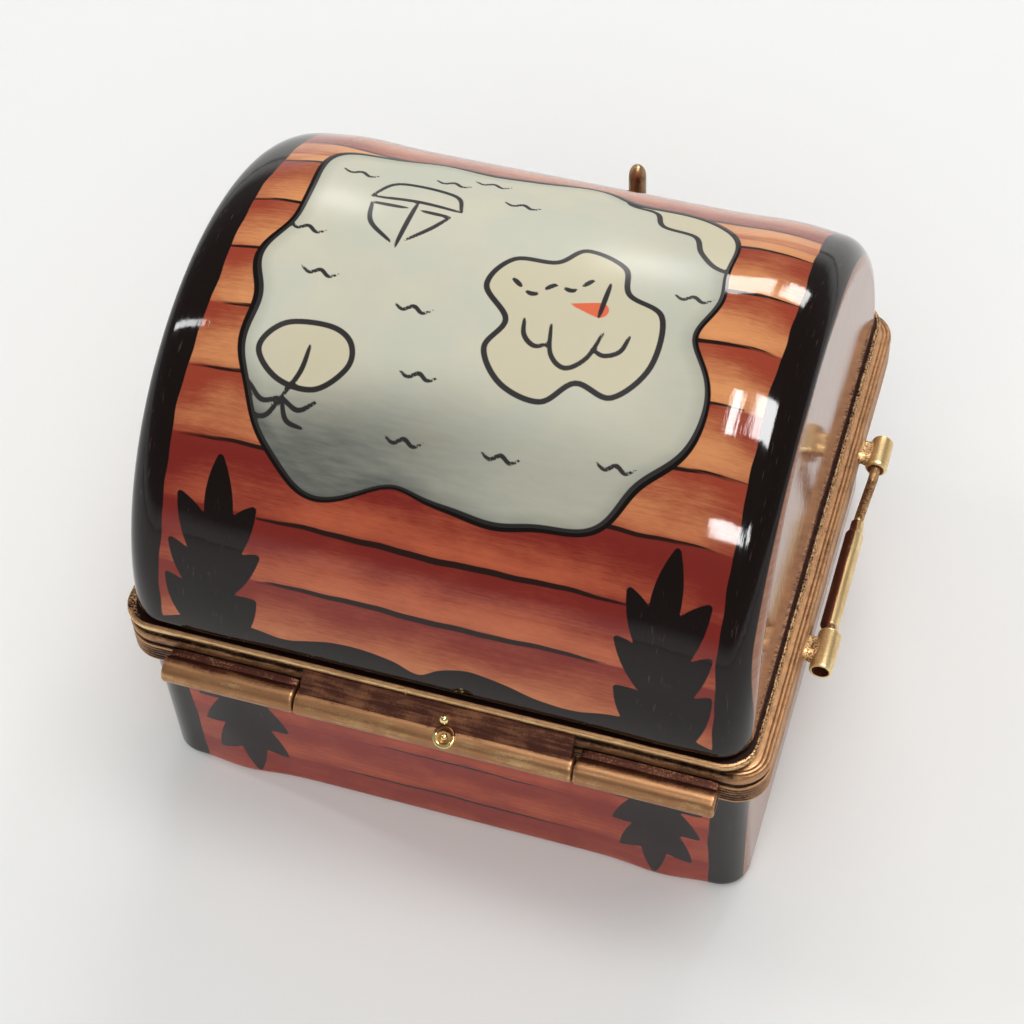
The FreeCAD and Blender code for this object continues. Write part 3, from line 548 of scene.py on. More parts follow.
@dataclass(frozen=True)
class PaintedGlaze:
    """Hand-painted plank wood, black straps and a chart panel under a clear, wet-looking glaze."""

    name: str
    red_dark: Colour = srgb(124, 38, 31)
    red_light: Colour = srgb(190, 97, 66)
    tan_dark: Colour = srgb(156, 64, 44)
    tan_light: Colour = srgb(224, 154, 100)
    end_wash: Colour = srgb(148, 100, 80)
    end_warm: Colour = srgb(160, 102, 74)
    end_pale: Colour = srgb(172, 128, 104)
    line: Colour = srgb(38, 18, 13)
    black: Colour = srgb(19, 8, 6)
    black_worn: Colour = srgb(62, 47, 43)
    panel: Colour = srgb(203, 203, 185)
    panel_warm: Colour = srgb(210, 206, 184)
    panel_grey: Colour = srgb(92, 95, 87)
    land: Colour = srgb(208, 197, 164)
    ink: Colour = srgb(18, 10, 7)
    mark: Colour = srgb(226, 100, 58)
    streaked: float = 0.08
    hatched: float = 0.07
    clouded: float = 0.15
    edge: float = 0.05
    gloss: float = 0.05
    panel_gloss: float = 0.28
    panel_matt: float = 0.5
    mirror: float = 0.31
    stroke_depth: float = 8.0e-6
    ripple_depth: float = 1.6e-5

    def wood(self, sheet: NodeSheet) -> Socket:
        """Paint planks: dark under the upper line, lighter below it, with soft clouds and fine hatching.

        A warmth of 0 to 1 goes from red to tan, and END_WARMTH to the brown wash of the end faces. On the lid
        the lighter tan over the crown is painted light.

        Args:
            sheet: material in the making.

        Returns:
            Colour of the wood.
        """
        streaks = sheet.noise(sheet.brush(0.09, 2.8), 4.0, 0.6)
        hatching = sheet.noise(sheet.brush(1.1, 6.5), 2.0, 0.5)
        clouds = sheet.noise(sheet.brush(0.16, 0.26), 2.0)
        tone = sheet.total(sheet.layer(Layer.TONE), sheet.sway(streaks, self.streaked),
                           sheet.sway(hatching, self.hatched), sheet.sway(clouds, self.clouded))
        light = sheet.spread(tone, -0.1, 1.1)
        warmth = sheet.layer(Layer.WARMTH)
        dark_colour = sheet.mix(warmth, self.red_dark, self.tan_dark)
        light_colour = sheet.mix(warmth, self.red_light, self.tan_light)
        colour = sheet.mix(light, dark_colour, light_colour)
        washed = sheet.mix(sheet.spread(clouds, 0.3, 0.7, 0.0, 0.8), self.end_wash, self.end_warm)
        washed = sheet.mix(sheet.spread(streaks, 0.35, 0.7, 0.0, 0.6), washed, self.end_pale)
        colour = sheet.mix(sheet.spread(warmth, 1.2, 1.8), colour, washed)
        return sheet.mix(sheet.inside(Layer.LINE, self.edge), colour, self.line)

    def straps(self, sheet: NodeSheet, colour: Socket) -> Socket:
        """Lay the black straps over the planks, with broken brush marks along the middle of each strap.

        Args:
            sheet: material in the making.
            colour: colour under the straps.

        Returns:
            Colour with the straps.
        """
        depth = sheet.layer(Layer.BLACK)
        middle = sheet.math("MULTIPLY", sheet.spread(depth, -0.7, -1.1), sheet.spread(depth, -2.1, -1.6))
        bristles = sheet.noise(sheet.brush(3.4, 0.45), 3.0, 0.6)
        worn = sheet.math("MULTIPLY", middle, sheet.spread(bristles, 0.6, 0.72))
        black = sheet.mix(worn, self.black, self.black_worn)
        return sheet.mix(sheet.inside(Layer.BLACK, self.edge), colour, black)

    def chart(self, sheet: NodeSheet, colour: Socket) -> Socket:
        """Lay the chart panel over the planks, with its shading, land, ink and bright mark.

        Args:
            sheet: material in the making.
            colour: colour under the panel.

        Returns:
            Colour with the panel.
        """
        clouds = sheet.noise(sheet.brush(0.12, 0.12), 3.0)
        wash = sheet.noise(sheet.brush(0.35, 1.6), 4.0)
        paper = sheet.mix(sheet.spread(clouds, 0.35, 0.65), self.panel, self.panel_warm)
        shade = sheet.math("MULTIPLY", sheet.layer(Layer.SHADE), sheet.spread(wash, 0.2, 0.8, 0.9, 1.05))
        paper = sheet.mix(shade, paper, self.panel_grey)
        paper = sheet.mix(sheet.math("MULTIPLY", sheet.inside(Layer.LAND, 0.5), 0.75), paper, self.land)
        colour = sheet.mix(sheet.inside(Layer.PANEL, self.edge), colour, paper)
        colour = sheet.mix(sheet.inside(Layer.MARK, self.edge), colour, self.mark)
        return sheet.mix(sheet.inside(Layer.INK, self.edge), colour, self.ink)

    def material(self, with_chart: bool) -> Material:
        """Build the material.

        Args:
            with_chart: whether the surface carries the chart panel.

        Returns:
            The material.
        """
        sheet = NodeSheet(bpy.data.materials.new(self.name))
        colour = self.straps(sheet, self.wood(sheet))
        ripple = sheet.noise(sheet.brush(0.22, 0.3), 2.0)
        strokes = sheet.noise(sheet.brush(2.8, 0.3), 4.0)
        relief = sheet.bump(strokes, self.stroke_depth, sheet.bump(ripple, self.ripple_depth))
        rough = sheet.spread(strokes, 0.2, 0.8, self.gloss * 0.6, self.gloss * 1.6)
        if with_chart:
            colour = self.chart(sheet, colour)
            matt = sheet.spread(sheet.layer(Layer.SHEEN), 0.0, 1.0, self.panel_matt, self.panel_gloss)
            rough = sheet.blend(sheet.inside(Layer.PANEL, self.edge), rough, matt)
        return sheet.surface(Base_Color=colour, Roughness=rough, Normal=relief, IOR=1.52,
                             Specular_IOR_Level=self.mirror)


LID_PAINT = PaintedGlaze("lid_paint")
BASE_PAINT = PaintedGlaze("base_paint", srgb(136, 34, 25), srgb(196, 86, 52))


@dataclass(frozen=True)
class WhiteGlaze:
    """Bare white porcelain under glaze, for the insides and the foot."""

    name: str = "white_glaze"
    white: Colour = srgb(238, 236, 230)
    shadow: Colour = srgb(230, 228, 222)

    def material(self) -> Material:
        """Build the material: a warm white with faint pooling and a soft ripple."""
        sheet = NodeSheet(bpy.data.materials.new(self.name))
        pools = sheet.noise(sheet.place(140.0), 3.0)
        colour = sheet.mix(sheet.spread(pools, 0.35, 0.7), self.white, self.shadow)
        relief = sheet.bump(sheet.noise(sheet.place(260.0), 2.0), 1.5e-5)
        rough = sheet.spread(pools, 0.3, 0.7, 0.09, 0.18)
        return sheet.surface(Base_Color=colour, Roughness=rough, Normal=relief, IOR=1.5)


@dataclass(frozen=True)
class AgedBrass:
    """Brass that is brown where nothing rubs it and where shade is painted into its wear, gold where it is
    handled and pale along its edges.
    """

    name: str
    metal: Colour
    patina: Colour
    rubbed: Colour
    rough: float = 0.36
    dulled: float = 0.14
    polished: float = 0.05
    scuffed: float = 0.05
    plain_wear: float = 0.0
    drawn: tuple[float, float, float] = (260.0, 3600.0, 3600.0)
    mark_depth: float = 2.5e-6
    grain_depth: float = 2.4e-5
    metallic: float = 0.8
    mottle: float = 0.12
    speckled: tuple[float, float] = (0.04, 0.55)

    def material(self) -> Material:
        """Build the material: its wear level, which also carries painted shade, broken up by blotches, drawn
        marks and speckled grain.
        """
        sheet = NodeSheet(bpy.data.materials.new(self.name))
        blotches = sheet.noise(sheet.place(420.0), 4.0, 0.6)
        marks = sheet.noise(sheet.place(*self.drawn), 3.0)
        grains = sheet.noise(sheet.place(6000.0), 2.0, 0.5)
        grainy = sheet.layer(Layer.GRAIN)
        speckle = sheet.math("MULTIPLY", sheet.sway(grains, 1.0),
                             sheet.spread(grainy, 0.0, 1.0, *self.speckled))
        level = sheet.total(sheet.layer(Layer.WEAR), self.plain_wear, sheet.sway(blotches, self.mottle),
                            sheet.sway(marks, self.mottle), speckle)
        colour = sheet.mix(sheet.spread(level, 0.05, 0.55), self.patina, self.metal)
        colour = sheet.mix(sheet.spread(level, 0.6, 1.05), colour, self.rubbed)
        shine = sheet.spread(level, 0.0, 1.0, self.rough + self.dulled, self.rough - self.polished)
        rough = sheet.math("ADD", shine, sheet.sway(marks, self.scuffed))
        grain = sheet.math("MULTIPLY", grains, sheet.spread(grainy, 0.0, 1.0, 0.1, 1.0))
        relief = sheet.bump(marks, self.mark_depth, sheet.bump(grain, self.grain_depth))
        return sheet.surface(Base_Color=colour, Roughness=rough, Normal=relief, Metallic=self.metallic)


# The rim's near-black patina is also the colour of the painted crevice shade along the flange.
RIM_BRASS = AgedBrass("rim_brass", srgb(182, 136, 95), srgb(40, 20, 14), srgb(230, 196, 142),
                      drawn=(1500.0, 1500.0, 6000.0), mottle=0.07)
HINGE_BRASS = AgedBrass("hinge_brass", srgb(162, 117, 80), srgb(78, 40, 30), srgb(210, 174, 124))
LEAF_BRASS = AgedBrass("leaf_brass", srgb(150, 100, 70), srgb(76, 42, 32), srgb(220, 180, 130),
                       plain_wear=0.2)
HANDLE_BRASS = AgedBrass("handle_brass", srgb(222, 186, 130), srgb(108, 60, 42), srgb(246, 222, 166),
                         drawn=(3600.0, 260.0, 3600.0))
CLASP_BRASS = AgedBrass("clasp_brass", srgb(180, 148, 108), srgb(90, 70, 54), srgb(232, 206, 152),
                        drawn=(2600.0, 2600.0, 400.0))
BRIGHT_BRASS = AgedBrass("bright_brass", srgb(236, 206, 126), srgb(96, 62, 36), srgb(250, 232, 168),
                         rough=0.2, metallic=0.95)


@dataclass(frozen=True)
class Leaf:
    """A leaf-shaped strap end: an outline of tips and notches with bulging edges and rounded tips."""

    corners: tuple[tuple[float, float], ...]
    bulge_share: float
    tip_round: float

    def outline(self) -> Array:
        """Closed outline, whose edges are quadratic curves that leave their chords by a share of the chord.

        Returns:
            Points of the outline, the last equal to the first.
        """
        start = np.array(self.corners)
        end = np.roll(start, -1, axis=0)
        run = end - start
        bend = 0.5 * (start + end) + 2.0 * self.bulge_share * np.stack([-run[:, 1], run[:, 0]], axis=-1)
        t = np.linspace(0.0, 1.0, 6, endpoint=False)[None, :, None]
        curve = (1 - t) ** 2 * start[:, None] + 2 * t * (1 - t) * bend[:, None] + t**2 * end[:, None]
        line = curve.reshape(-1, 2)
        return np.vstack([line, line[:1]])

    def field(self, across: Array, along: Array) -> Array:
        """Signed distance to the leaf, grown by the radius of its tips, from places across and along it."""
        return region_field(across, along, self.outline()) - self.tip_round


LID_LEAF = Leaf(((-0.1, 19.3), (0.55, 13.0), (3.2, 15.5), (1.15, 8.8), (3.95, 11.0), (1.75, 5.6), (4.4, 7.3),
                 (3.0, 1.5), (-1.5, 1.5), (-3.3, 6.3), (-0.4, 5.9), (-3.75, 11.05), (-1.4, 10.0),
                 (-3.3, 15.4), (-1.25, 13.5)), bulge_share=0.07, tip_round=0.3)

BASE_LEAF = Leaf(((2.1, 20.0), (2.1, 16.6), (4.3, 13.2), (2.1, 13.4), (4.2, 8.8), (2.1, 9.3), (3.5, 4.0),
                  (1.15, 5.4), (0.1, 0.8), (-1.0, 5.4), (-3.1, 4.3), (-1.7, 9.3), (-3.7, 9.1), (-1.9, 13.6),
                  (-4.0, 13.5), (-2.2, 16.8), (-2.2, 20.0)), bulge_share=0.04, tip_round=0.12)


@dataclass(frozen=True)
class PlankLine:
    """A painted line between two planks, from one place along the chest to another."""

    height: float
    start: float
    end: float
    width: float = 0.58
    wobble: float = 0.16
    step: float = 0.8

    def field(self, along: Array, height: Array) -> Array:
        """Signed distance to the line, a stroke that wanders a little and thins at its ends.

        Args:
            along: distance along the chest.
            height: distance across the planks.

        Returns:
            Negative inside the line.
        """
        count = max(int(abs(self.end - self.start) / self.step), 4)
        x = np.linspace(self.start, self.end, count)
        path = np.stack([x, self.height - wander(x, self.wobble, self.height)], axis=-1)
        return stroke_field(along, height, path, tapered(count, self.width))


@dataclass(frozen=True)
class PlankTone:
    """Tone across one plank: lightest low down, darker towards its upper line and right at its foot."""

    light: float
    fall: float
    fall_from: float
    foot: float
    foot_fall: float = 0.2

    @staticmethod
    def planks(height: Array, cuts: Sequence[float]) -> tuple[Array, Array]:
        """Find the plank at each height.

        Args:
            height: distance across the planks.
            cuts: heights between which the planks lie, in order.

        Returns:
            Number of the plank, and the share of its height.
        """
        edges = np.array(cuts)
        number = np.clip(np.searchsorted(edges, height, side="right") - 1, 0, len(edges) - 2)
        return number, (height - edges[number]) / (edges[number + 1] - edges[number])

    def across(self, rising: Array) -> Array:
        """Tone at a share of the plank's height."""
        foot = self.foot_fall * ease(rising, self.foot, 0.0)
        return self.light - self.fall * ease(rising, self.fall_from, 1.0) - foot


@dataclass(frozen=True)
class Chart:
    """The panel painted over the lid: a deckle-edged sea chart with islands, a boat and a dotted way.

    Its own coordinates are X along the chest and a height that grows towards the hinge, so that it stands
    upright for someone at the clasp. A glow, by its place and width, is where the glaze is smoothest.
    """

    middle_along: float = 1.3
    middle_round: float = 37.0
    half_width: float = 19.3
    half_height: float = 18.9
    squareness: float = 3.4
    deckle: tuple = ((0.75, 7, 0.6), (0.5, 11, 2.1), (0.5, 4, 4.0), (0.22, 17, 1.0))
    outline_width: float = 0.62
    coast_width: float = 0.5
    thin_width: float = 0.38
    dash: float = 1.05
    gap: float = 0.75

    island: tuple = ((-15.0, 3.2), (-12.6, 6.6), (-9.4, 6.0), (-7.0, 8.2), (-3.4, 7.4), (-1.2, 4.6),
                     (-2.2, 1.6), (0.4, -1.4), (-1.0, -4.8), (-4.6, -5.4), (-6.6, -7.6), (-10.2, -6.4),
                     (-11.4, -3.4), (-14.6, -1.8))
    islet: tuple = ((9.4, 8.8), (11.6, 11.2), (15.0, 11.0), (17.2, 8.8), (15.6, 6.2), (12.0, 5.6), (9.8, 6.6))
    shore: tuple = ((-22.0, -8.4), (-18.0, -8.4), (-15.8, -10.4), (-14.6, -13.0), (-11.6, -13.8),
                    (-10.4, -16.4), (-7.8, -17.4), (-7.2, -21.0))
    shore_corner: tuple = ((-24.0, -24.0),)
    hills: tuple = (((-12.6, 0.8), (-12.2, 2.4), (-11.0, 3.1), (-9.9, 2.7)),
                    ((-10.4, 1.0), (-9.7, 3.6), (-8.2, 4.9), (-6.7, 3.9), (-6.0, 1.2)),
                    ((-6.4, 3.0), (-5.2, 3.5), (-4.1, 2.7), (-3.7, 1.2)))
    way: tuple = ((-1.6, -2.6), (-3.6, -1.4), (-5.2, -2.8), (-6.8, -2.6), (-8.2, -4.2), (-9.2, -3.8))
    pole: tuple = ((-9.6, -4.2), (-9.6, -0.4))
    pennant: tuple = ((-9.45, -1.15), (-6.9, -1.15))
    pennant_width: float = 1.6
    palm: tuple = (((13.0, 7.6), (13.2, 10.0), (14.2, 12.4)), ((14.2, 12.4), (12.6, 13.2), (11.2, 12.2)),
                   ((14.2, 12.4), (13.4, 14.2), (11.9, 14.6)), ((14.2, 12.4), (15.2, 14.2), (16.8, 14.4)),
                   ((14.2, 12.4), (15.8, 13.0), (17.2, 11.8)))
    boat: tuple = (((5.2, -9.4), (6.6, -11.8), (11.6, -12.0), (13.4, -9.2)),
                   ((5.2, -9.4), (9.2, -9.7), (13.4, -9.2)), ((9.2, -9.6), (9.2, -3.4)),
                   ((9.8, -3.9), (12.2, -5.8), (13.0, -8.4)), ((9.8, -8.5), (13.0, -8.4)),
                   ((8.6, -4.4), (7.0, -6.4), (5.9, -8.4)), ((8.6, -8.5), (5.9, -8.4)))
    ripples: tuple = ((3.2, 13.6), (5.6, 2.2), (14.4, 0.6), (-14.4, 12.0), (-5.0, 13.2), (15.4, -12.6),
                      (0.6, -12.6), (3.4, 8.0), (-16.6, -4.6), (4.2, -15.6), (7.4, -14.2), (17.0, -3.6))
    ripple: tuple = ((-1.7, 0.0), (-0.85, 0.5), (0.0, 0.0), (0.85, 0.5), (1.7, 0.05))
    glows: tuple = ((15.0, -7.0, 5.5), (-12.0, -7.0, 6.5))
    shade_rows: tuple[float, float] = (5.5, 14.5)
    shade_skew: float = 0.16
    edge_shade: float = 0.26

    def outline(self) -> Array:
        """Deckle edge: a superellipse whose radius ripples by four sine waves round it.

        Returns:
            Closed outline in the chart's coordinates.
        """
        turn = np.linspace(0.0, 2.0 * math.pi, 361)
        power = self.squareness
        radius = (np.abs(np.cos(turn) / self.half_width) ** power
                  + np.abs(np.sin(turn) / self.half_height) ** power) ** (-1.0 / power)
        radius += sum(size * np.sin(count * turn + phase) for size, count, phase in self.deckle)
        return np.stack([radius * np.cos(turn), radius * np.sin(turn)], axis=-1)

    def dashes(self) -> list[Array]:
        """Cut the dotted way into dashes of equal length."""
        path = smooth_path(self.way, 24)
        steps = np.hypot(*np.diff(path, axis=0).T)
        length = np.concatenate([[0.0], np.cumsum(steps)])
        starts = np.arange(0.0, length[-1] - self.dash, self.dash + self.gap)
        spans = [np.linspace(start, start + self.dash, 5) for start in starts]
        return [np.stack([np.interp(at, length, column) for column in path.T], axis=-1) for at in spans]

    def strokes(self) -> list[tuple[Array, Array]]:
        """List the inked strokes.

        Returns:
            Path and half widths of each stroke.
        """
        coasts = [smooth_path(line, closed=True) for line in (self.island, self.islet)]
        coasts.append(smooth_path(self.shore))
        thick = [(path, np.full(len(path), 0.5 * self.coast_width)) for path in coasts]
        drawn = [smooth_path(line) for line in (*self.hills, *self.palm, *self.boat, self.pole)]
        medium = [(path, tapered(len(path), 0.9 * self.coast_width, 0.5)) for path in drawn]
        waves = [smooth_path(np.array(self.ripple) + place) for place in np.array(self.ripples)]
        thin = [(path, tapered(len(path), self.thin_width)) for path in waves]
        dotted = [(path, tapered(len(path), 0.95 * self.coast_width, 0.6)) for path in self.dashes()]
        return thick + medium + thin + dotted

    def layers(self, along: Array, round_: Array) -> dict[Layer, Array]:
        """Work out the panel's values on the lid.

        Args:
            along: distance along the chest.
            round_: distance round the lid from its foot at the hinge.

        Returns:
            Signed distances of panel, land, ink and mark, and the panel's sheen and shading.
        """
        x, y = along - self.middle_along, self.middle_round - round_
        edge = self.outline()
        panel = region_field(x, y, edge)
        turn = np.linspace(0.0, 2.0 * math.pi, len(edge))
        widths = 0.5 * self.outline_width * (1.0 + 0.22 * np.sin(3 * turn + 1.0) + 0.14 * np.sin(8 * turn))
        ink = stroke_field(x, y, edge, widths)
        clipped = [np.maximum(stroke_field(x, y, *stroke), panel) for stroke in self.strokes()]
        ink = np.minimum.reduce([ink, *clipped])
        lands = [region_field(x, y, smooth_path(line, closed=True)) for line in (self.island, self.islet)]
        corner = np.vstack([smooth_path(self.shore), self.shore_corner, self.shore[:1]])
        land = np.minimum.reduce([*lands, region_field(x, y, corner)])
        flag = smooth_path(self.pennant, 6)
        mark = stroke_field(x, y, flag, np.linspace(0.5 * self.pennant_width, 0.05, len(flag)))
        shade = ease(y - self.shade_skew * np.maximum(x, 0.0), *self.shade_rows)
        shade = np.maximum(shade * (0.36 + 0.56 * ease(x, -10.0, 11.0)), 0.14 * ease(x, -9.0, -18.0))
        shade = shade + self.edge_shade * ease(-panel, 2.0, 0.0)
        sheen = np.maximum.reduce([hump(np.hypot(x - a, y - b), 0.0, width) for a, b, width in self.glows])
        return {Layer.PANEL: panel, Layer.INK: ink, Layer.LAND: land, Layer.MARK: mark, Layer.SHEEN: sheen,
                Layer.SHADE: np.clip(shade, 0.0, 1.0) * (land > 0.0)}


@dataclass(frozen=True)
class Arch:
    """A barrel vault with rounded ends, as the outside or the inside of the lid."""

    half_length: float
    half_depth: float
    height: float
    foot: float
    corner: float
    run: float
    fall: float
    swell: float = 0.0
    swell_at: float = 20.2
    swell_width: float = 3.6
    swell_foot_share: float = 0.3

    def section(self, x: Array) -> tuple[Array, Array]:
        """Half depth and height of the vault at a place along the chest.

        Each falls along a quarter ellipse towards the end, and swells under the painted straps.

        Args:
            x: distance along the chest.

        Returns:
            Half depth and height.
        """
        reach = np.abs(x)
        swell = self.swell * hump(reach, self.swell_at, self.swell_width)
        from_end = self.half_length - reach
        depth = self.half_depth + self.swell_foot_share * swell
        depth = depth - quarter_fall(self.corner - from_end, self.corner, self.corner)
        return depth, self.height + swell - quarter_fall(self.run - from_end, self.run, self.fall)

    def points(self, x: Array, share: Array, angle: Array) -> Array:
        """Points (x, share * depth * cos(angle), foot + share * height * sin(angle)).

        Args:
            x: distance along the chest of each column.
            share: 1 on the vault, and less on the flat end faces.
            angle: angle round the vault of each row, from the hinge side over the crown.

        Returns:
            Points by column and row.
        """
        depth, height = self.section(x)
        y = (share * depth)[:, None] * np.cos(angle)[None, :]
        z = self.foot + (share * height)[:, None] * np.sin(angle)[None, :]
        return np.stack([np.broadcast_to(x[:, None], y.shape), y, z], axis=-1)

    def stations(self, cap_steps: int, round_steps: int, middle_steps: int) -> tuple[Array, Array]:
        """Columns from the middle of one end face to the middle of the other.

        Args:
            cap_steps: columns on each end face.
            round_steps: columns on each rounded end.
            middle_steps: columns between the rounded ends.

        Returns:
            Distance along the chest and share of the section of each column.
        """
        straight = self.half_length - self.corner
        bend = straight + self.corner * np.sin(np.linspace(0.0, 0.5 * math.pi, round_steps + 1)[1:])
        middle = np.linspace(-straight, straight, middle_steps + 1)
        body = np.concatenate([-bend[::-1], middle, bend])
        cap = 0.5 - 0.5 * np.cos(np.linspace(0.0, math.pi, cap_steps, endpoint=False))
        end = np.full(cap_steps, self.half_length)
        x = np.concatenate([-end, body, end])
        return x, np.concatenate([cap, np.ones(len(body)), cap[::-1]])


@dataclass
class LidShell:
    """The barrel-topped porcelain lid with its painted outside and white inside."""

    outer: Arch
    inner: Arch
    heel: float = 0.8
    right_band: float = 24.15
    left_band: float = 23.7
    left_band_foot: float = 0.9
    wash_from: float = 26.4
    left_edge: float = 26.97
    left_edge_slope: float = 0.0238
    lean: tuple[float, float] = (0.12, 1.03)
    lean_from: float = 24.0
    end_border: float = 0.25
    leaf_middle: float = 19.6
    right_leaf_share: float = 0.96
    right_leaf_lean: float = 0.055
    ripple: float = 0.05
    columns: tuple[int, int, int] = (14, 9, 228)
    rows: int = 312
    tone: PlankTone = PlankTone(0.95, 0.85, 0.1, 0.15)
    turned_share: float = 0.64

    strap: tuple = ((-25.0, 1.4), (-21.0, 2.8), (-16.0, 3.0), (-13.0, 2.35), (-10.0, 2.5), (-7.0, 3.4),
                    (-3.8, 3.9), (-1.2, 3.3), (0.85, 2.05), (3.0, 2.9), (5.5, 3.5), (8.2, 3.6), (10.6, 3.0),
                    (13.0, 2.4), (16.0, 2.9), (21.0, 2.8), (25.0, 1.4))

    @classmethod
    def from_frame(cls) -> "LidShell":
        """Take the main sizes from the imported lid."""
        low, high = box_mm("lid_porcelain")
        swell, wall = 0.35, 2.3
        half_depth, height = high[1] - Arch.swell_foot_share * swell, high[2] - low[2] - swell
        outer = Arch(high[0], half_depth, height, low[2], corner=3.0, run=9.0, fall=2.1, swell=swell)
        inner = Arch(high[0] - wall, half_depth - wall, height - wall, low[2], corner=1.6, run=3.0, fall=2.1)
        return cls(outer, inner)

    def angles(self) -> Array:
        """Rows over the vault, closer together at the rounded heel on each side."""
        heel = np.arcsin(self.heel / self.outer.height * np.array([0.0, 0.08, 0.22, 0.42, 0.68, 1.0]))
        over = np.linspace(heel[-1], math.pi - heel[-1], self.rows)
        return np.concatenate([heel[:-1], over, (math.pi - heel[:-1])[::-1]])

    def girth(self, angle: Array) -> Array:
        """Distance round the plain vault from the hinge side to an angle.

        Args:
            angle: angle of each row, in order.

        Returns:
            Distance of each row.
        """
        fine = np.linspace(0.0, math.pi, 4001)
        speed = np.hypot(self.outer.half_depth * np.sin(fine), self.outer.height * np.cos(fine))
        length = np.concatenate([[0.0], np.cumsum(0.5 * (speed[1:] + speed[:-1]) * np.diff(fine))])
        return np.interp(angle, fine, length)

    def outside(self, x: Array, share: Array, angle: Array) -> Array:
        """Outer points, with the heel rounded inwards, a faint hand-pressed ripple and a leaning left end.

        The heel moves a point inwards by quarter_fall(heel - height above the foot, heel, heel), and the lean
        moves the left end inwards in step with the height.

        Args:
            x: distance along the chest of each column.
            share: share of the section of each column.
            angle: angle of each row.

        Returns:
            Points by column and row.
        """
        points = self.outer.points(x, share, angle)
        depth, _ = self.outer.section(x)
        run_x, run_y = np.gradient(x), np.gradient(share * depth)
        flat = np.abs(run_x) < 1e-9
        size = np.maximum(np.hypot(run_x, run_y), 1e-9)
        push_x = np.where(flat, np.sign(x), -run_y / size)
        push_y = np.where(flat, 0.0, np.abs(run_x) / size)
        inset = quarter_fall(self.heel - (points[..., 2] - self.outer.foot), self.heel, self.heel)
        side = np.sign(np.cos(angle))[None, :]
        points[..., 0] -= inset * push_x[:, None]
        points[..., 1] -= inset * push_y[:, None] * side
        wave = np.sin(0.42 * x + 0.7)[:, None] * np.sin(5.0 * angle + 0.4)[None, :]
        wave = wave + np.sin(0.23 * x - 1.1)[:, None] * np.sin(9.0 * angle)[None, :]
        crown = (share > 0.999)[:, None] * np.sin(angle)[None, :]
        points[..., 2] -= self.ripple * crown * (0.5 + 0.25 * wave)
        rise = (points[..., 2] - self.outer.foot) / self.outer.height
        near_end = ease(-x, self.lean_from, self.outer.half_length)[:, None]
        points[..., 0] += near_end * (self.lean[0] + self.lean[1] * rise)
        return points

    def plank_lines(self, whole: float) -> list[PlankLine]:
        """Lines between the planks, by distance round the lid.

        Args:
            whole: distance round the lid from foot to foot.

        Returns:
            The lines.
        """
        back = [PlankLine(8.4, 15.3, -15.2), PlankLine(14.2, 15.7, -16.1), PlankLine(20.1, 24.4, -23.3, 0.5),
                PlankLine(25.9, 24.6, -24.4, 0.5), PlankLine(31.6, 23.5, -22.0), PlankLine(37.2, 24.8, -23.8),
                PlankLine(43.0, 24.9, -24.6), PlankLine(49.6, 25.4, -24.5)]
        front = [PlankLine(whole - 8.5, -15.4, 15.2), PlankLine(whole - 14.3, -15.8, 16.0),
                 PlankLine(whole - 20.0, -23.6, 24.4, 0.5), PlankLine(whole - 25.6, -24.5, 23.2)]
        return back + front

    def wood_layers(self, along: Array, round_: Array, whole: float) -> dict[Layer, Array]:
        """Work out each plank's tone, light at its lower edge and dark under its upper line, and its warmth,
        with painted shade low on the back and painted light over the crown.

        Args:
            along: distance along the chest.
            round_: distance round the lid.
            whole: distance round the lid from foot to foot.

        Returns:
            Tone, warmth and signed distance to the lines.
        """
        lines = self.plank_lines(whole)
        number, share = PlankTone.planks(round_, [0.0, *sorted(line.height for line in lines), whole])
        tone = self.tone.across(np.where(round_ < self.turned_share * whole, share, 1.0 - share))
        tone -= 0.3 * ease(np.abs(along), 20.0, 24.5)
        # Painted shade: a band low on the back of the lid is painted darker, more so towards the ends, where
        # the back turns away from the light.
        tone -= hump(round_, 15.5, 7.5) * (0.2 + 0.24 * ease(np.abs(along), 7.0, 19.0))
        # Painted light: the crown turns to the lighter tan and the sides to the darker red, as if lit from
        # above. A band low on the back is painted redder along with the painted shade there, and just above
        # the foot the planks turn tan again. The sine term is each plank's own tint.
        crown = hump(round_, 0.5 * whole, 0.32 * whole)
        warmth = np.clip(0.12 + 0.9 * ease(crown, 0.42, 0.82) + 0.16 * np.sin(2.6 * number), 0.0, 1.0)
        warmth = np.clip(warmth + 0.3 * hump(round_, 3.0, 4.5) - 0.2 * hump(round_, 14.0, 6.0), 0.0, 1.0)
        line = np.minimum.reduce([item.field(along, round_) for item in lines])
        return {Layer.TONE: tone, Layer.WARMTH: warmth, Layer.LINE: line}

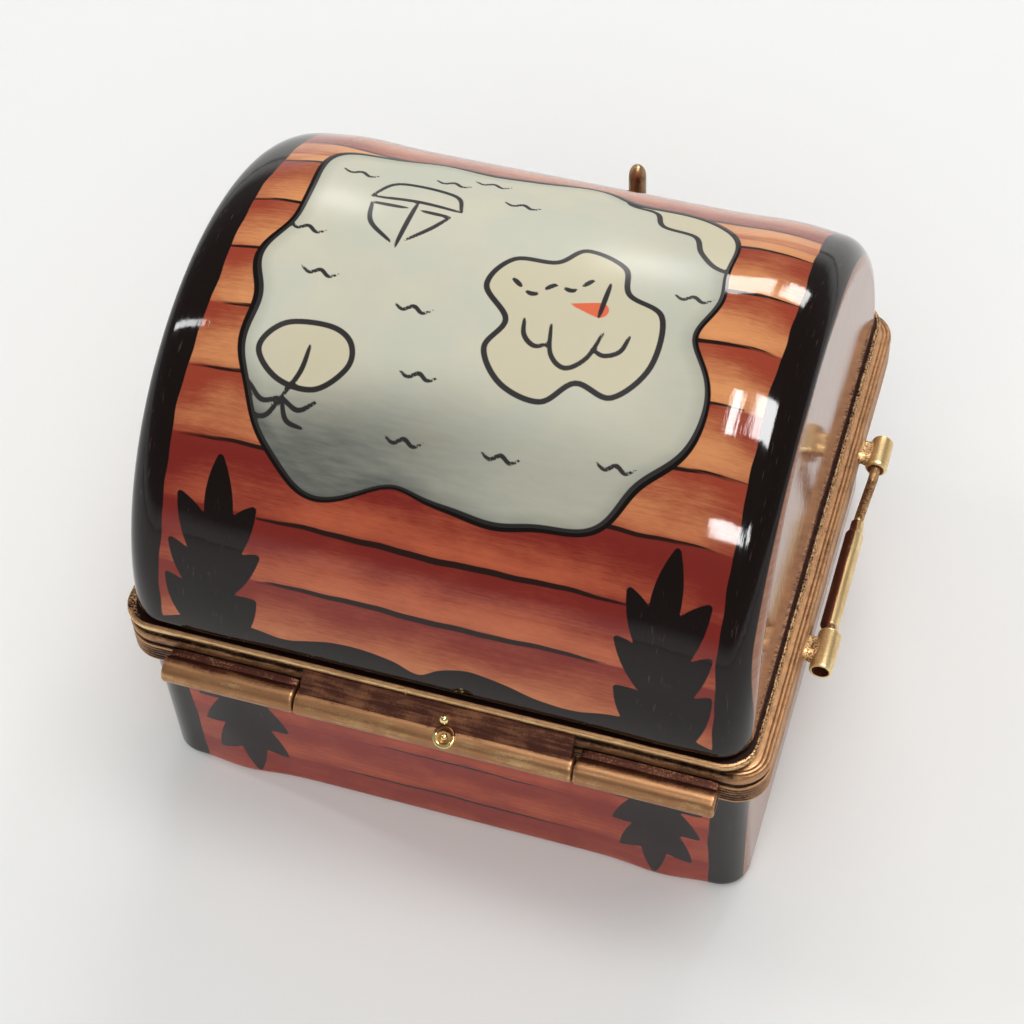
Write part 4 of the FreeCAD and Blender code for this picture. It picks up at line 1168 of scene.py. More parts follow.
    def layers(self, x: Array, share: Array, angle: Array, points: Array) -> dict[Layer, Array]:
        """Work out all painted values of the outside.

        Args:
            x: distance along the chest of each column.
            share: share of the section of each column.
            angle: angle of each row.
            points: outer points by column and row.

        Returns:
            Values by column and row.
        """
        along, round_ = np.meshgrid(x, self.girth(angle), indexing="ij")
        whole = float(self.girth(np.array([math.pi]))[0])
        layers = self.wood_layers(along, round_, whole)
        from_foot = np.minimum(round_, whole - round_)
        reach, right = np.abs(along), along > 0.0
        leaf_share = np.where(right, self.right_leaf_share, 1.0)
        below_tip = np.maximum(LID_LEAF.corners[0][1] - from_foot, 0.0)
        leaf_lean = np.where(right, self.right_leaf_lean, 0.0) * below_tip
        leaf = LID_LEAF.field(reach - self.leaf_middle + leaf_lean, from_foot / leaf_share)
        strap = from_foot - (np.interp(along, *smooth_path(self.strap, 10).T) + wander(along, 0.1, 2.0))
        left_band = self.left_band + self.left_band_foot * ease(from_foot, 26.0, 0.0)
        band = np.where(right, self.right_band, left_band) - reach + wander(round_, 0.2, 0.8)
        edge = self.left_edge + self.left_edge_slope * from_foot + 0.7 * ease(from_foot, 13.0, 3.0)
        past = np.where(right, -FIELD_REACH, reach - edge)
        layers[Layer.BLACK] = np.maximum(np.minimum.reduce([leaf, strap, band]), past)
        layers[Layer.WARMTH] = np.where(reach > self.wash_from, END_WARMTH, layers[Layer.WARMTH])
        layers.update(Chart().layers(along, round_))
        layers[Layer.BRUSH] = brush_layer(along, round_)
        self.paint_ends(layers, share, points)
        return layers

    def paint_ends(self, layers: dict[Layer, Array], share: Array, points: Array) -> None:
        """Paint the flat end faces with a brown wash, inside a thin black border at the right end.

        Args:
            layers: values by column and row, changed in place on the end faces.
            share: share of the section of each column.
            points: outer points by column and row.
        """
        face = np.broadcast_to((share < 0.9999)[:, None], points.shape[:2])
        border = (1.0 - share)[:, None] * self.outer.height - self.end_border
        bare = (Layer.LINE, Layer.PANEL, Layer.INK, Layer.LAND, Layer.MARK)
        values = {Layer.WARMTH: END_WARMTH, Layer.BLACK: np.where(points[..., 0] > 0.0, border, FIELD_REACH),
                  **dict.fromkeys(bare, FIELD_REACH)}
        for layer, value in values.items():
            layers[layer] = np.where(face, value, layers[layer])
        strokes = brush_layer(points[..., 1], points[..., 2] - self.outer.foot)
        layers[Layer.BRUSH] = np.where(face[..., None], strokes, layers[Layer.BRUSH])

    def build(self, paint: Material, white: Material) -> None:
        """Build the closed shell: painted outside, white inside, and the flat ring between them.

        Args:
            paint: finish of the outside.
            white: finish of the inside.
        """
        angle = self.angles()
        x, share = self.outer.stations(*self.columns)
        points = self.outside(x, share, angle)
        skin = Skin.of_grid(points, layers=self.layers(x, share, angle, points))
        inner_x, inner_share = self.inner.stations(*self.columns)
        inside = self.inner.points(inner_x, inner_share, np.linspace(0.0, math.pi, 21))
        skin = skin.joined(Skin.of_grid(inside, finish=1))
        for row in (0, -1):
            skin = skin.joined(Skin.of_grid(np.stack([points[:, row], inside[:, row]]), finish=1))
        skin.piece("lid_porcelain_shell", Body.LID, Slot.LID_GLAZE, (paint, white), ("lid_porcelain",))


@dataclass
class BaseShell:
    """The porcelain tub with its painted walls, white hollow and flat foot."""

    foot_length: float = 27.95
    foot_depth: float = 24.95
    foot_round: float = 0.9
    shoulder_length: float = 27.5
    shoulder_depth: float = 26.0
    shoulder: float = 19.2
    top: float = 22.3
    corner: float = 2.6
    floor: float = 2.6
    wall: float = 2.4
    hollow_corner: float = 2.0
    swell: float = 0.45
    swell_at: float = 20.2
    swell_width: float = 3.2
    right_band: float = 24.05
    left_band: float = 24.65
    end_band: float = 23.4
    left_edge: float = 27.6
    right_leaf: float = 18.7
    left_leaf: float = 19.6
    tone: PlankTone = PlankTone(0.45, 0.5, 0.15, 0.2)
    lines: tuple[PlankLine, ...] = (PlankLine(4.6, 11.0, -12.9, 0.36), PlankLine(11.2, 8.6, -12.9, 0.34),
                                    PlankLine(17.8, 14.0, -14.0, 0.34))
    outer_cuts: tuple[float, float] = (-1.6, 24.4)
    brush_shift: tuple[float, float] = (80.0, 40.0)
    steps: tuple[int, int, int] = (176, 112, 14)

    def profile(self) -> tuple[Array, Array, Array, Array, Array]:
        """Outline of each row, from the middle of the foot up the wall and down into the hollow.

        Returns:
            Half length, half depth, corner and height of each row, and whether it is white from there on.
        """
        turn = np.linspace(0.0, 0.5 * math.pi, 7)[1:-1]
        inset = self.foot_round * (1.0 - np.sin(turn))
        rise = self.foot_round * (1.0 - np.cos(turn))
        height = np.concatenate([np.linspace(self.foot_round, self.shoulder, 66), [self.top - 0.4, self.top]])
        share = np.clip((height - self.foot_round) / (self.shoulder - self.foot_round), 0.0, 1.0)
        length = self.foot_length + share * (self.shoulder_length - self.foot_length)
        depth = self.foot_depth + share * (self.shoulder_depth - self.foot_depth)
        under = np.array([0.0, 0.3, 0.6, 0.85, 1.0])
        flat_length, flat_depth = self.foot_length - self.foot_round, self.foot_depth - self.foot_round
        mouth_length, mouth_depth = self.shoulder_length - self.wall, self.shoulder_depth - self.wall
        low_length, low_depth = self.foot_length - self.wall, self.foot_depth - self.wall
        down = np.linspace(0.0, 1.0, 9)
        ease_in = np.array([0.12, 0.4, 0.8])
        back = np.array([0.93, 0.6, 0.3, 0.0])
        deep = self.floor + 0.8
        bend = np.array([deep - 0.4, deep - 0.65, self.floor + 0.04])
        stretches = (
            (under * flat_length, under * flat_depth, under * self.corner, 0.0, True),
            (self.foot_length - inset, self.foot_depth - inset, self.corner, rise, False),
            (length, depth, self.corner, height, height == self.top),
            (mouth_length + down * (low_length - mouth_length),
             mouth_depth + down * (low_depth - mouth_depth), self.hollow_corner,
             self.top + down * (deep - self.top), True),
            (low_length - ease_in, low_depth - ease_in, self.hollow_corner, bend, True),
            (back * low_length, back * low_depth, back * self.hollow_corner, self.floor, True),
        )
        return tuple(np.concatenate(part) for part in zip(*(np.broadcast_arrays(*row) for row in stretches)))

    def layers(self, points: Array, walls: Array) -> dict[Layer, Array]:
        """Work out the painted values of the walls.

        Args:
            points: points by row and column.
            walls: Wall of each column.

        Returns:
            Values by row and column.
        """
        x, y, z = points[..., 0], points[..., 1], points[..., 2]
        wall = np.broadcast_to(walls[None, :], x.shape)
        long_side = (wall == Wall.BACK.value) | (wall == Wall.FRONT.value)
        end_side = wall == Wall.END.value
        line = np.where(long_side, np.minimum.reduce([item.field(x, z) for item in self.lines]), FIELD_REACH)
        low, high = self.outer_cuts
        number, rising = PlankTone.planks(z, [low, *(item.height for item in self.lines), high])
        past = np.where(x < 0.0, -x - self.left_edge, -FIELD_REACH)
        warmth = np.where(end_side | (past > -0.1), END_WARMTH, 0.08 + 0.06 * np.sin(2.1 * number))
        leaf = BASE_LEAF.field(np.abs(x) - np.where(x > 0.0, self.right_leaf, self.left_leaf), z)
        band = np.where(x > 0.0, self.right_band, self.left_band) - np.abs(x) + wander(z, 0.14, 1.7)
        black = np.where(long_side, np.minimum(leaf, band), past)
        black = np.where(end_side, self.end_band - np.abs(y) + wander(z, 0.12, 0.4), black)
        black = np.where(end_side & (x < 0.0), FIELD_REACH, black)
        brush = brush_layer(np.where(end_side, y + self.brush_shift[0], x), z + self.brush_shift[1])
        return {Layer.TONE: self.tone.across(rising), Layer.WARMTH: warmth, Layer.LINE: line,
                Layer.BLACK: black, Layer.BRUSH: brush}

    def build(self, paint: Material, white: Material) -> None:
        """Build the closed tub.

        Args:
            paint: finish of the walls.
            white: finish of the foot, the edge and the hollow.
        """
        length, depth, corner, height, blank = self.profile()
        plan, walls, _ = rounded_rectangle(length, depth, corner, *self.steps)
        points = raised(plan, height)
        skin = Skin.of_grid(points, wrap=True, layers=self.layers(points, walls))
        skin.finishes = np.repeat(blank[:-1].astype(int), points.shape[1])
        low = hump(np.abs(points[..., 0]), self.swell_at, self.swell_width) * ease(points[..., 2], 19.0, 6.0)
        outside = np.concatenate([[False], ~blank[:-1]])
        push = self.swell * low * outside[:, None] * (np.abs(points[..., 1]) > 0.8 * self.foot_depth)
        skin.points[:, 1] += (push * np.sign(points[..., 1])).ravel()
        skin.piece("base_porcelain_shell", Body.BASE, Slot.BASE_GLAZE, (paint, white), ("base_porcelain",))


def round_corners(corners: Sequence[tuple[float, float]], radii: Sequence[float], closed: bool = False,
                  steps: int = 5) -> Array:
    """Run a line through corners and round each with an arc of its own radius.

    The arc touches both neighbouring lines, and its points turn evenly about its centre.

    Args:
        corners: corners of the line.
        radii: radius of each corner, where 0 leaves it sharp.
        closed: whether the last corner joins the first.
        steps: spans in each arc.

    Returns:
        Points of the line, the last equal to the first when it is closed.
    """
    spots, rounded = np.array(corners, float), []
    for number, (here, radius) in enumerate(zip(spots, radii)):
        before, after = spots[number - 1] - here, spots[(number + 1) % len(spots)] - here
        if radius <= 0.0:
            rounded.append(here[None, :])
            continue
        before, after = before / np.linalg.norm(before), after / np.linalg.norm(after)
        half = 0.5 * math.acos(float(np.clip(before @ after, -1.0, 1.0)))
        middle = (before + after) / np.linalg.norm(before + after)
        centre = here + middle * radius / math.sin(half)
        reach, sweep = radius / math.tan(half), math.pi - 2.0 * half
        first, last = here + before * reach - centre, here + after * reach - centre
        share = np.linspace(0.0, 1.0, steps + 1)[:, None]
        arc = np.sin((1.0 - share) * sweep) * first + np.sin(share * sweep) * last
        rounded.append(centre + arc / math.sin(sweep))
    line = np.vstack(rounded)
    return np.vstack([line, line[:1]]) if closed else line


def rubbed_edges(profile: Array, level: float) -> Array:
    """Wear along a profile: a plain level, and up to 1 where the profile turns outwards.

    Args:
        profile: points of the profile, closed by itself or through its axis.
        level: wear of the plain stretches.

    Returns:
        Wear of each point.
    """
    ahead, behind = np.roll(profile, -1, axis=0) - profile, profile - np.roll(profile, 1, axis=0)
    turn = np.arctan2(behind[:, 0] * ahead[:, 1] - behind[:, 1] * ahead[:, 0], (behind * ahead).sum(axis=1))
    after = np.roll(profile, -1, axis=0)
    way = np.sign((profile[:, 0] * after[:, 1] - profile[:, 1] * after[:, 0]).sum())
    return level + (1.0 - level) * np.clip(way * turn / 0.4, 0.0, 1.0)


@dataclass(frozen=True)
class Turning:
    """A shape turned about an axis, with the direction across the axis from which its angle counts."""

    origin: tuple[float, float, float]
    axis: tuple[float, float, float]
    across: tuple[float, float, float]
    steps: int = 48

    def angles(self) -> Array:
        """Angles of the columns."""
        return np.linspace(0.0, 2.0 * math.pi, self.steps, endpoint=False)

    def skin(self, profile: Array, wear: Array, grain: float = 0.0, swell: Optional[Array] = None) -> Skin:
        """Turn a profile.

        A point is origin + along * axis + radius * (cos(angle) * across + sin(angle) * axis x across).

        Args:
            profile: distance along the axis and radius of each row.
            wear: wear by row, or by row and column.
            grain: how grainy the metal is.
            swell: factor of the radius by column, for shapes that aren't quite round.

        Returns:
            The skin.
        """
        axis, across = np.array(self.axis), np.array(self.across)
        angle = self.angles()[:, None]
        spokes = np.cos(angle) * across + np.sin(angle) * np.cross(axis, across)
        if swell is not None:
            spokes = spokes * swell[:, None]
        along, radius = profile[:, 0, None, None], profile[:, 1, None, None]
        points = np.array(self.origin) + along * axis + radius * spokes
        spread = np.broadcast_to(wear if wear.ndim == 2 else wear[:, None], points.shape[:2])
        return Skin.of_grid(points, True, {Layer.WEAR: spread, Layer.GRAIN: np.full(points.shape[:2], grain)})


@dataclass(frozen=True)
class Sweep:
    """A rod swept along a path that lies in one plane, with a section between an ellipse and a box."""

    side: tuple[float, float, float]
    squareness: float = 2.0
    steps: int = 24

    def skin(self, path: Array, half_wide: Array, half_high: Array, wear: float, grain: float = 0.0,
             lumps: float = 0.0) -> Skin:
        """Sweep the section.

        A point is path + wide * c * side + high * s * (tangent x side), where c and s are the cosine and
        sine of its angle raised to 2 / squareness. Both ends close to a point.

        Args:
            path: middle of the rod, one row for each section.
            half_wide: half size along the side direction by row.
            half_high: half size across it by row.
            wear: wear of the metal.
            grain: how grainy the metal is.
            lumps: share by which hand-laid solder swells and sinks.

        Returns:
            The skin.
        """
        side = np.array(self.side)
        tangent = np.gradient(path, axis=0)
        tangent /= np.linalg.norm(tangent, axis=1)[:, None]
        angle = np.linspace(0.0, 2.0 * math.pi, self.steps, endpoint=False)
        power = 2.0 / self.squareness
        cosine = np.sign(np.cos(angle)) * np.abs(np.cos(angle)) ** power
        sine = np.sign(np.sin(angle)) * np.abs(np.sin(angle)) ** power
        row = np.arange(len(path))[:, None]
        factor = 1.0 + lumps * np.sin(3.0 * angle + 1.3 * row) * np.cos(2.0 * angle - 0.9 * row)
        wide, high = half_wide[:, None] * factor * cosine, half_high[:, None] * factor * sine
        upward = np.cross(tangent, side)[:, None, :]
        body = path[:, None, :] + wide[..., None] * side + high[..., None] * upward
        caps = np.broadcast_to(path[[0, -1], None, :], (2, *body.shape[1:]))
        points = np.concatenate([caps[:1], body, caps[1:]])
        shape = points.shape[:2]
        layers = {Layer.WEAR: np.full(shape, wear), Layer.GRAIN: np.full(shape, grain)}
        return Skin.of_grid(points, True, layers)


def solder_bead(size: Sequence[float], place: Sequence[float]) -> Skin:
    """Make a bright bead: a ball of radius 1, scaled by a size along each axis and moved to a place.

    Args:
        size: half sizes along X, Y and Z.
        place: its middle.

    Returns:
        The skin.
    """
    turn = np.linspace(0.0, math.pi, 9)
    half_round = np.stack([-np.cos(turn), np.sin(turn)], axis=-1)
    turning = Turning((0.0, 0.0, 0.0), (0.0, 0.0, 1.0), (1.0, 0.0, 0.0), 16)
    ball = turning.skin(half_round, np.full(len(turn), 0.9))
    ball.points = ball.points * size + place
    return ball


@dataclass(frozen=True)
class Ring:
    """One row of a rim: its outline, its height, and the wear, with any painted shade, and grain of the metal
    there.
    """

    half_length: float
    half_depth: float
    corner: float
    height: float
    wear: float
    end_wear_and_shade: float
    grain: float
    shift: float = 0.0


@dataclass(frozen=True)
class Rim:
    """A brass rim swept round the chest's rounded outline, its outer face set a little off centre."""

    half_length: float
    half_depth: float
    shift: float = 0.0
    outer_inset: float = 0.5
    corner: float = 3.0
    least_corner: float = 0.4
    steps: tuple[int, int, int] = (130, 124, 14)
    wobble: float = 0.03

    def at(self, inset: float, height: float, wear: float, end_wear_and_shade: Optional[float] = None,
           grain: float = 0.0) -> Ring:
        """Make a row at an inset from the rim's outline.

        Args:
            inset: how far inside the outline.
            height: height of the row.
            wear: wear along the back and the front.
            end_wear_and_shade: wear along the ends, by default the same.
            grain: grain of the metal along the ends.

        Returns:
            The row.
        """
        shift = self.shift if inset < self.outer_inset else 0.0
        corner = max(self.corner - inset, self.least_corner)
        return Ring(self.half_length - inset, self.half_depth - inset, corner, height, wear,
                    wear if end_wear_and_shade is None else end_wear_and_shade, grain, shift)

    def swept(self, rings: Sequence[Ring]) -> Skin:
        """Sweep rows into a closed skin, with a slight unevenness that only goes inwards.

        Args:
            rings: rows round the section, the last joining the first.

        Returns:
            The skin.
        """
        rows = [*rings, rings[0]]
        columns = np.array([astuple(row) for row in rows]).T
        length, depth, corner, height, wear, end_wear_and_shade, grain, shift = columns
        plan, _, turn = rounded_rectangle(length, depth, corner, *self.steps)
        plan[..., 0] += shift[:, None]
        column = np.arange(plan.shape[1])
        dent = self.wobble * (0.5 + 0.3 * np.sin(column * 0.19) + 0.2 * np.sin(column * 0.47 + 1.0))
        plan = plan - dent[:, None] * np.stack([np.cos(turn), np.sin(turn)], axis=-1)
        towards_end = np.abs(np.cos(turn))[None, :] ** 1.5
        layers = {Layer.WEAR: wear[:, None] + towards_end * (end_wear_and_shade - wear)[:, None],
                  Layer.GRAIN: towards_end * grain[:, None]}
        return Skin.of_grid(raised(plan, height), True, layers)


@dataclass(frozen=True)
class BaseRim(Rim):
    """The band round the tub: a tooled face, a waist, a rounded bead and a ledge over the porcelain."""

    outer_inset: float = 1.2
    foot: float = 19.2
    band_top: float = 21.45
    bead_foot: float = 21.9
    top: float = 23.0
    ledge: float = 22.3
    waist_inset: float = 0.2
    band_thickness: float = 1.5
    opening: tuple[float, float, float] = (25.1, 23.6, 2.0)
    tool_lines: int = 5
    tool_depth: float = 0.07
    flare: float = 0.55

    @classmethod
    def from_frame(cls) -> "BaseRim":
        """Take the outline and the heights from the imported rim."""
        low, high = box_mm("base_rim")
        return cls(high[0] + cls.flare, high[1], shift=-0.35, foot=low[2], top=high[2])

    def face(self) -> list[Ring]:
        """Rows of the outer face, from its lower edge to the bead's crest."""
        rows = [self.at(self.band_thickness, self.foot, 0.0), self.at(0.12, self.foot, 0.3),
                self.at(0.02, self.foot + 0.08, 0.85), self.at(0.0, self.foot + 0.18, 0.6)]
        crest, groove = (0.24, 0.44, 0.15), (0.0, 0.3, 0.15)
        for line in np.linspace(self.foot + 0.42, self.band_top - 0.34, self.tool_lines):
            rows += [self.at(0.0, line - 0.1, *crest), self.at(self.tool_depth, line, *groove),
                     self.at(0.0, line + 0.1, *crest)]
        inset = self.waist_inset
        rows += [self.at(0.0, self.band_top - 0.12, 0.55), self.at(0.05, self.band_top - 0.02, 0.75),
                 self.at(inset, self.band_top, 0.05), self.at(inset, self.bead_foot, 0.02)]
        turn = np.linspace(-0.5 * math.pi, 0.5 * math.pi, 11)
        middle, half = 0.5 * (self.bead_foot + self.top), 0.5 * (self.top - self.bead_foot)
        return rows + [self.at(inset * (1.0 - c), middle + half * s, 0.05 + 0.35 * c, 0.42 + 0.1 * c, 0.15)
                       for c, s in zip(np.cos(turn), np.sin(turn))]

    def build(self, metal: Material) -> None:
        """Build the rim."""
        length, depth, corner = self.opening
        lines = [self.at(inset + step, self.top - fall, 0.3, 0.46 - 1.5 * fall, 0.1)
                 for inset in (0.5, 0.85) for step, fall in ((-0.1, 0.0), (0.0, 0.04), (0.1, 0.0))]
        inner = [*lines, Ring(length + 0.1, depth + 0.1, corner, self.top, 0.4, 0.4, 0.0),
                 Ring(length, depth, corner, self.top - 0.1, 0.7, 0.7, 0.0),
                 Ring(length, depth, corner, self.ledge, 0.2, 0.2, 0.0),
                 self.at(self.band_thickness, self.ledge, 0.0)]
        skin = self.swept(self.face() + inner)
        skin.piece("base_rim_band", Body.BASE, Slot.RIM, (metal,), ("base_rim",))


@dataclass(frozen=True)
class LidRim(Rim):
    """The flange under the lid: a waist, a rounded bright lip and a collar inside the porcelain."""

    foot: float = 23.1
    lip_foot: float = 23.65
    flange: float = 24.4
    collar_top: float = 26.0
    waist_inset: float = 0.3
    lip_round: float = 0.34
    collar: tuple[float, float, float] = (25.25, 24.0, 2.55)
    collar_wall: float = 0.7
    seam_at: float = 2.0
    seam_size: tuple[float, float, float] = (0.14, 0.2, 0.44)

    @classmethod
    def from_frame(cls) -> "LidRim":
        """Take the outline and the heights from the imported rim."""
        low, high = box_mm("lid_rim")
        return cls(high[0], high[1], shift=0.25, foot=low[2], collar_top=high[2])

    def face(self) -> list[Ring]:
        """Rows from the waist round the lip and over the flange to the crevice at the porcelain."""
        turn = np.linspace(-0.5 * math.pi, 0.5 * math.pi, 9)
        middle, half = 0.5 * (self.lip_foot + self.flange), 0.5 * (self.flange - self.lip_foot)
        lip = [self.at(self.lip_round * (1.0 - c) * 0.7, middle + half * s, 0.35 + 0.6 * c, 0.4 + 0.3 * c,
                       0.8) for c, s in zip(np.cos(turn), np.sin(turn))]
        # Painted shade: the flange's top is painted near-black towards the porcelain, for the shade of the
        # crevice and the black lid mirrored there.
        flange = [self.at(0.3, self.flange, 0.6, 0.62, 1.0), self.at(0.38, self.flange, -0.2, 0.62, 1.0),
                  self.at(0.56, self.flange, -0.3, 0.58, 1.0), self.at(0.7, self.flange, -0.3, -0.2, 0.2),
                  self.at(1.6, self.flange, -0.3, -0.3, 0.0)]
        inset = self.waist_inset
        waist = [self.at(inset, self.foot, 0.1), self.at(inset, self.foot + 0.2, 0.22),
                 self.at(inset + 0.08, self.foot + 0.28, 0.0), self.at(inset, self.foot + 0.36, 0.22),
                 self.at(inset, self.lip_foot, 0.04)]
        return waist + lip + flange

    def build(self, metal: Material) -> None:
        """Build the rim, with the small solder bead where the ends of the lip's strip meet."""
        length, depth, corner = self.collar
        wall = self.collar_wall
        inside = (length - wall, depth - wall, corner - wall)
        inner = [Ring(length, depth, corner, self.flange, 0.0, 0.0, 0.0),
                 Ring(length, depth, corner, self.collar_top - 0.1, 0.5, 0.5, 0.0),
                 Ring(length - 0.1, depth - 0.1, corner - 0.1, self.collar_top, 0.8, 0.8, 0.0),
                 Ring(*inside, self.collar_top, 0.6, 0.6, 0.0), Ring(*inside, self.foot, 0.4, 0.4, 0.0)]
        middle = 0.5 * (self.lip_foot + self.flange)
        bead = solder_bead(self.seam_size, (self.seam_at, self.half_depth - 0.12, middle))
        skin = self.swept(self.face() + inner).joined(bead)
        skin.piece("lid_rim_flange", Body.LID, Slot.RIM, (metal,), ("lid_rim",))


@dataclass(frozen=True)
class Hinge:
    """Three tubes on one pin behind the rims, with a bright rivet in the middle one."""

    axis_y: float
    axis_z: float
    radius: float
    rim_y: float
    rivet_x: float
    bore: float = 0.6
    web_height: float = 1.3
    end_round: float = 0.26
    shaded_at: float = 133.0
    shaded_width: float = 44.0
    rivet_tilt: float = 30.0
    ring_radius: float = 1.0
    ring_height: float = 0.22
    ring_wall: float = 0.36
    bead_radius: float = 0.34
    bead_height: float = 0.05
    nub_size: tuple[float, float, float] = (0.5, 0.4, 0.55)
    nub_offset: tuple[float, float, float] = (0.3, -0.5, 1.9)

    @classmethod
    def from_frame(cls) -> "Hinge":
        """Take the axis and the tubes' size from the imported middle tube."""
        low, high = box_mm("hinge_knuckle_centre")
        radius = 0.5 * (high[2] - low[2])
        rivet_x = 0.5 * (box_mm("hinge_rivet")[0][0] + box_mm("hinge_rivet")[1][0])
        return cls(low[1] + radius, low[2] + radius, radius, box_mm("base_rim")[1][1], rivet_x)

    def tube(self, node: str) -> Skin:
        """Turn a tube about the pin, gold where it faces out and painted dark brown towards the rim and the
        lid, as painted shade and a painted reflection of the black lid.

        Args:
            node: packed tube whose length it takes.

        Returns:
            The skin.
        """
        low, high = box_mm(node)
        start, end = low[0], high[0]
        spots = [(start, self.bore), (start, self.radius), (start + 0.5, self.radius),
                 (end - 0.5, self.radius), (end, self.radius), (end, self.bore)]
        profile = round_corners(spots, (0.0, self.end_round, 0.0, 0.0, self.end_round, 0.0), True)
        turning = Turning((0.0, self.axis_y, self.axis_z), (1.0, 0.0, 0.0), (0.0, 1.0, 0.0), 64)
        angle = turning.angles()
        # Painted shade: the side towards the rim and the lid is darkened, for the crevice's shade and the
        # black lid mirrored there.
        shaded = hump(angle_from(angle, self.shaded_at), 0.0, math.radians(self.shaded_width))
        plain = 0.66 - 0.7 * shaded
        edges = rubbed_edges(profile, 0.0)
        wear = np.maximum(plain[None, :], edges[:, None] * (1.0 - 0.7 * shaded[None, :]))
        wear = np.where(profile[:, 1:2] < self.bore + 0.05, 0.1, wear)
        swell = 1.0 - 0.012 * (1.0 + np.sin(3.0 * angle + start))
        return turning.skin(profile, wear, 0.12, swell)

    def web(self, node: str) -> Skin:
        """Sweep the solder web between a tube and the base rim, flared at both of them.

        Args:
            node: packed tube that it holds.

        Returns:
            The skin.
        """
        low, high = box_mm(node)
        y = np.linspace(self.rim_y - 0.1, self.axis_y - 0.4, 9)
        path = np.column_stack(np.broadcast_arrays(0.5 * (low[0] + high[0]), y, self.axis_z))
        half_high = 0.5 * self.web_height + 0.22 * np.linspace(-1.0, 1.0, len(y)) ** 2
        half_wide = np.full(len(y), 0.5 * (high[0] - low[0]) - 0.1)
        # Its metal is kept dark: painted shade of the gap between the tube and the rim.
        return Sweep((1.0, 0.0, 0.0), 9.0, 64).skin(path, half_wide, half_high, 0.05, 0.4)

    def rivet(self) -> Skin:
        """Turn the rivet's ring and bead about its leaning axis, with a small nub on the side of the lid."""
        lean = math.radians(self.rivet_tilt)
        axis = np.array([0.0, math.sin(lean), math.cos(lean)])
        seat = np.array([self.rivet_x, self.axis_y, self.axis_z])
        ring_top = self.radius + self.ring_height
        top = ring_top + self.bead_height
        wall = self.ring_radius - self.ring_wall
        spots = [(0.6, 0.0), (0.6, self.ring_radius - 0.1), (self.radius - 0.1, self.ring_radius),
                 (ring_top, self.ring_radius), (ring_top, wall), (self.radius - 0.2, wall),
                 (self.radius - 0.2, self.bead_radius), (top, self.bead_radius), (top, 0.0)]
        profile = round_corners(spots, (0.0, 0.0, 0.0, 0.14, 0.1, 0.1, 0.05, 0.3, 0.0))
        turning = Turning(tuple(seat), tuple(axis), (1.0, 0.0, 0.0), 36)
        # Painted shade: the ring's hollow and its side towards the lid are kept dark.
        hollow = (profile[:, 0] < self.radius + 0.05) & (profile[:, 1] < wall + 0.05)
        upper = (profile[:, 1:2] > wall - 0.1) & (np.sin(turning.angles()) < -0.3)
        wear = np.where(hollow[:, None] | upper, -0.1, 0.85)
        return turning.skin(profile, wear).joined(solder_bead(self.nub_size, seat + self.nub_offset))

    def build(self, metal: Material, bright: Material) -> None:
        """Build the tubes and the rivet.

        Args:
            metal: finish of the tubes.
            bright: finish of the rivet.
        """
        for side in ("left", "right"):
            node = f"hinge_knuckle_{side}"
            skin = self.tube(node).joined(self.web(node))
            skin.piece(f"hinge_tube_{side}", Body.BASE, Slot.HINGE, (metal,), (node,))
        centre = "hinge_knuckle_centre"
        self.tube(centre).piece("hinge_tube_centre", Body.LID, Slot.HINGE, (metal,), (centre,))
        self.rivet().piece("hinge_rivet_bead", Body.LID, Slot.BRIGHT, (bright,), ("hinge_rivet",))


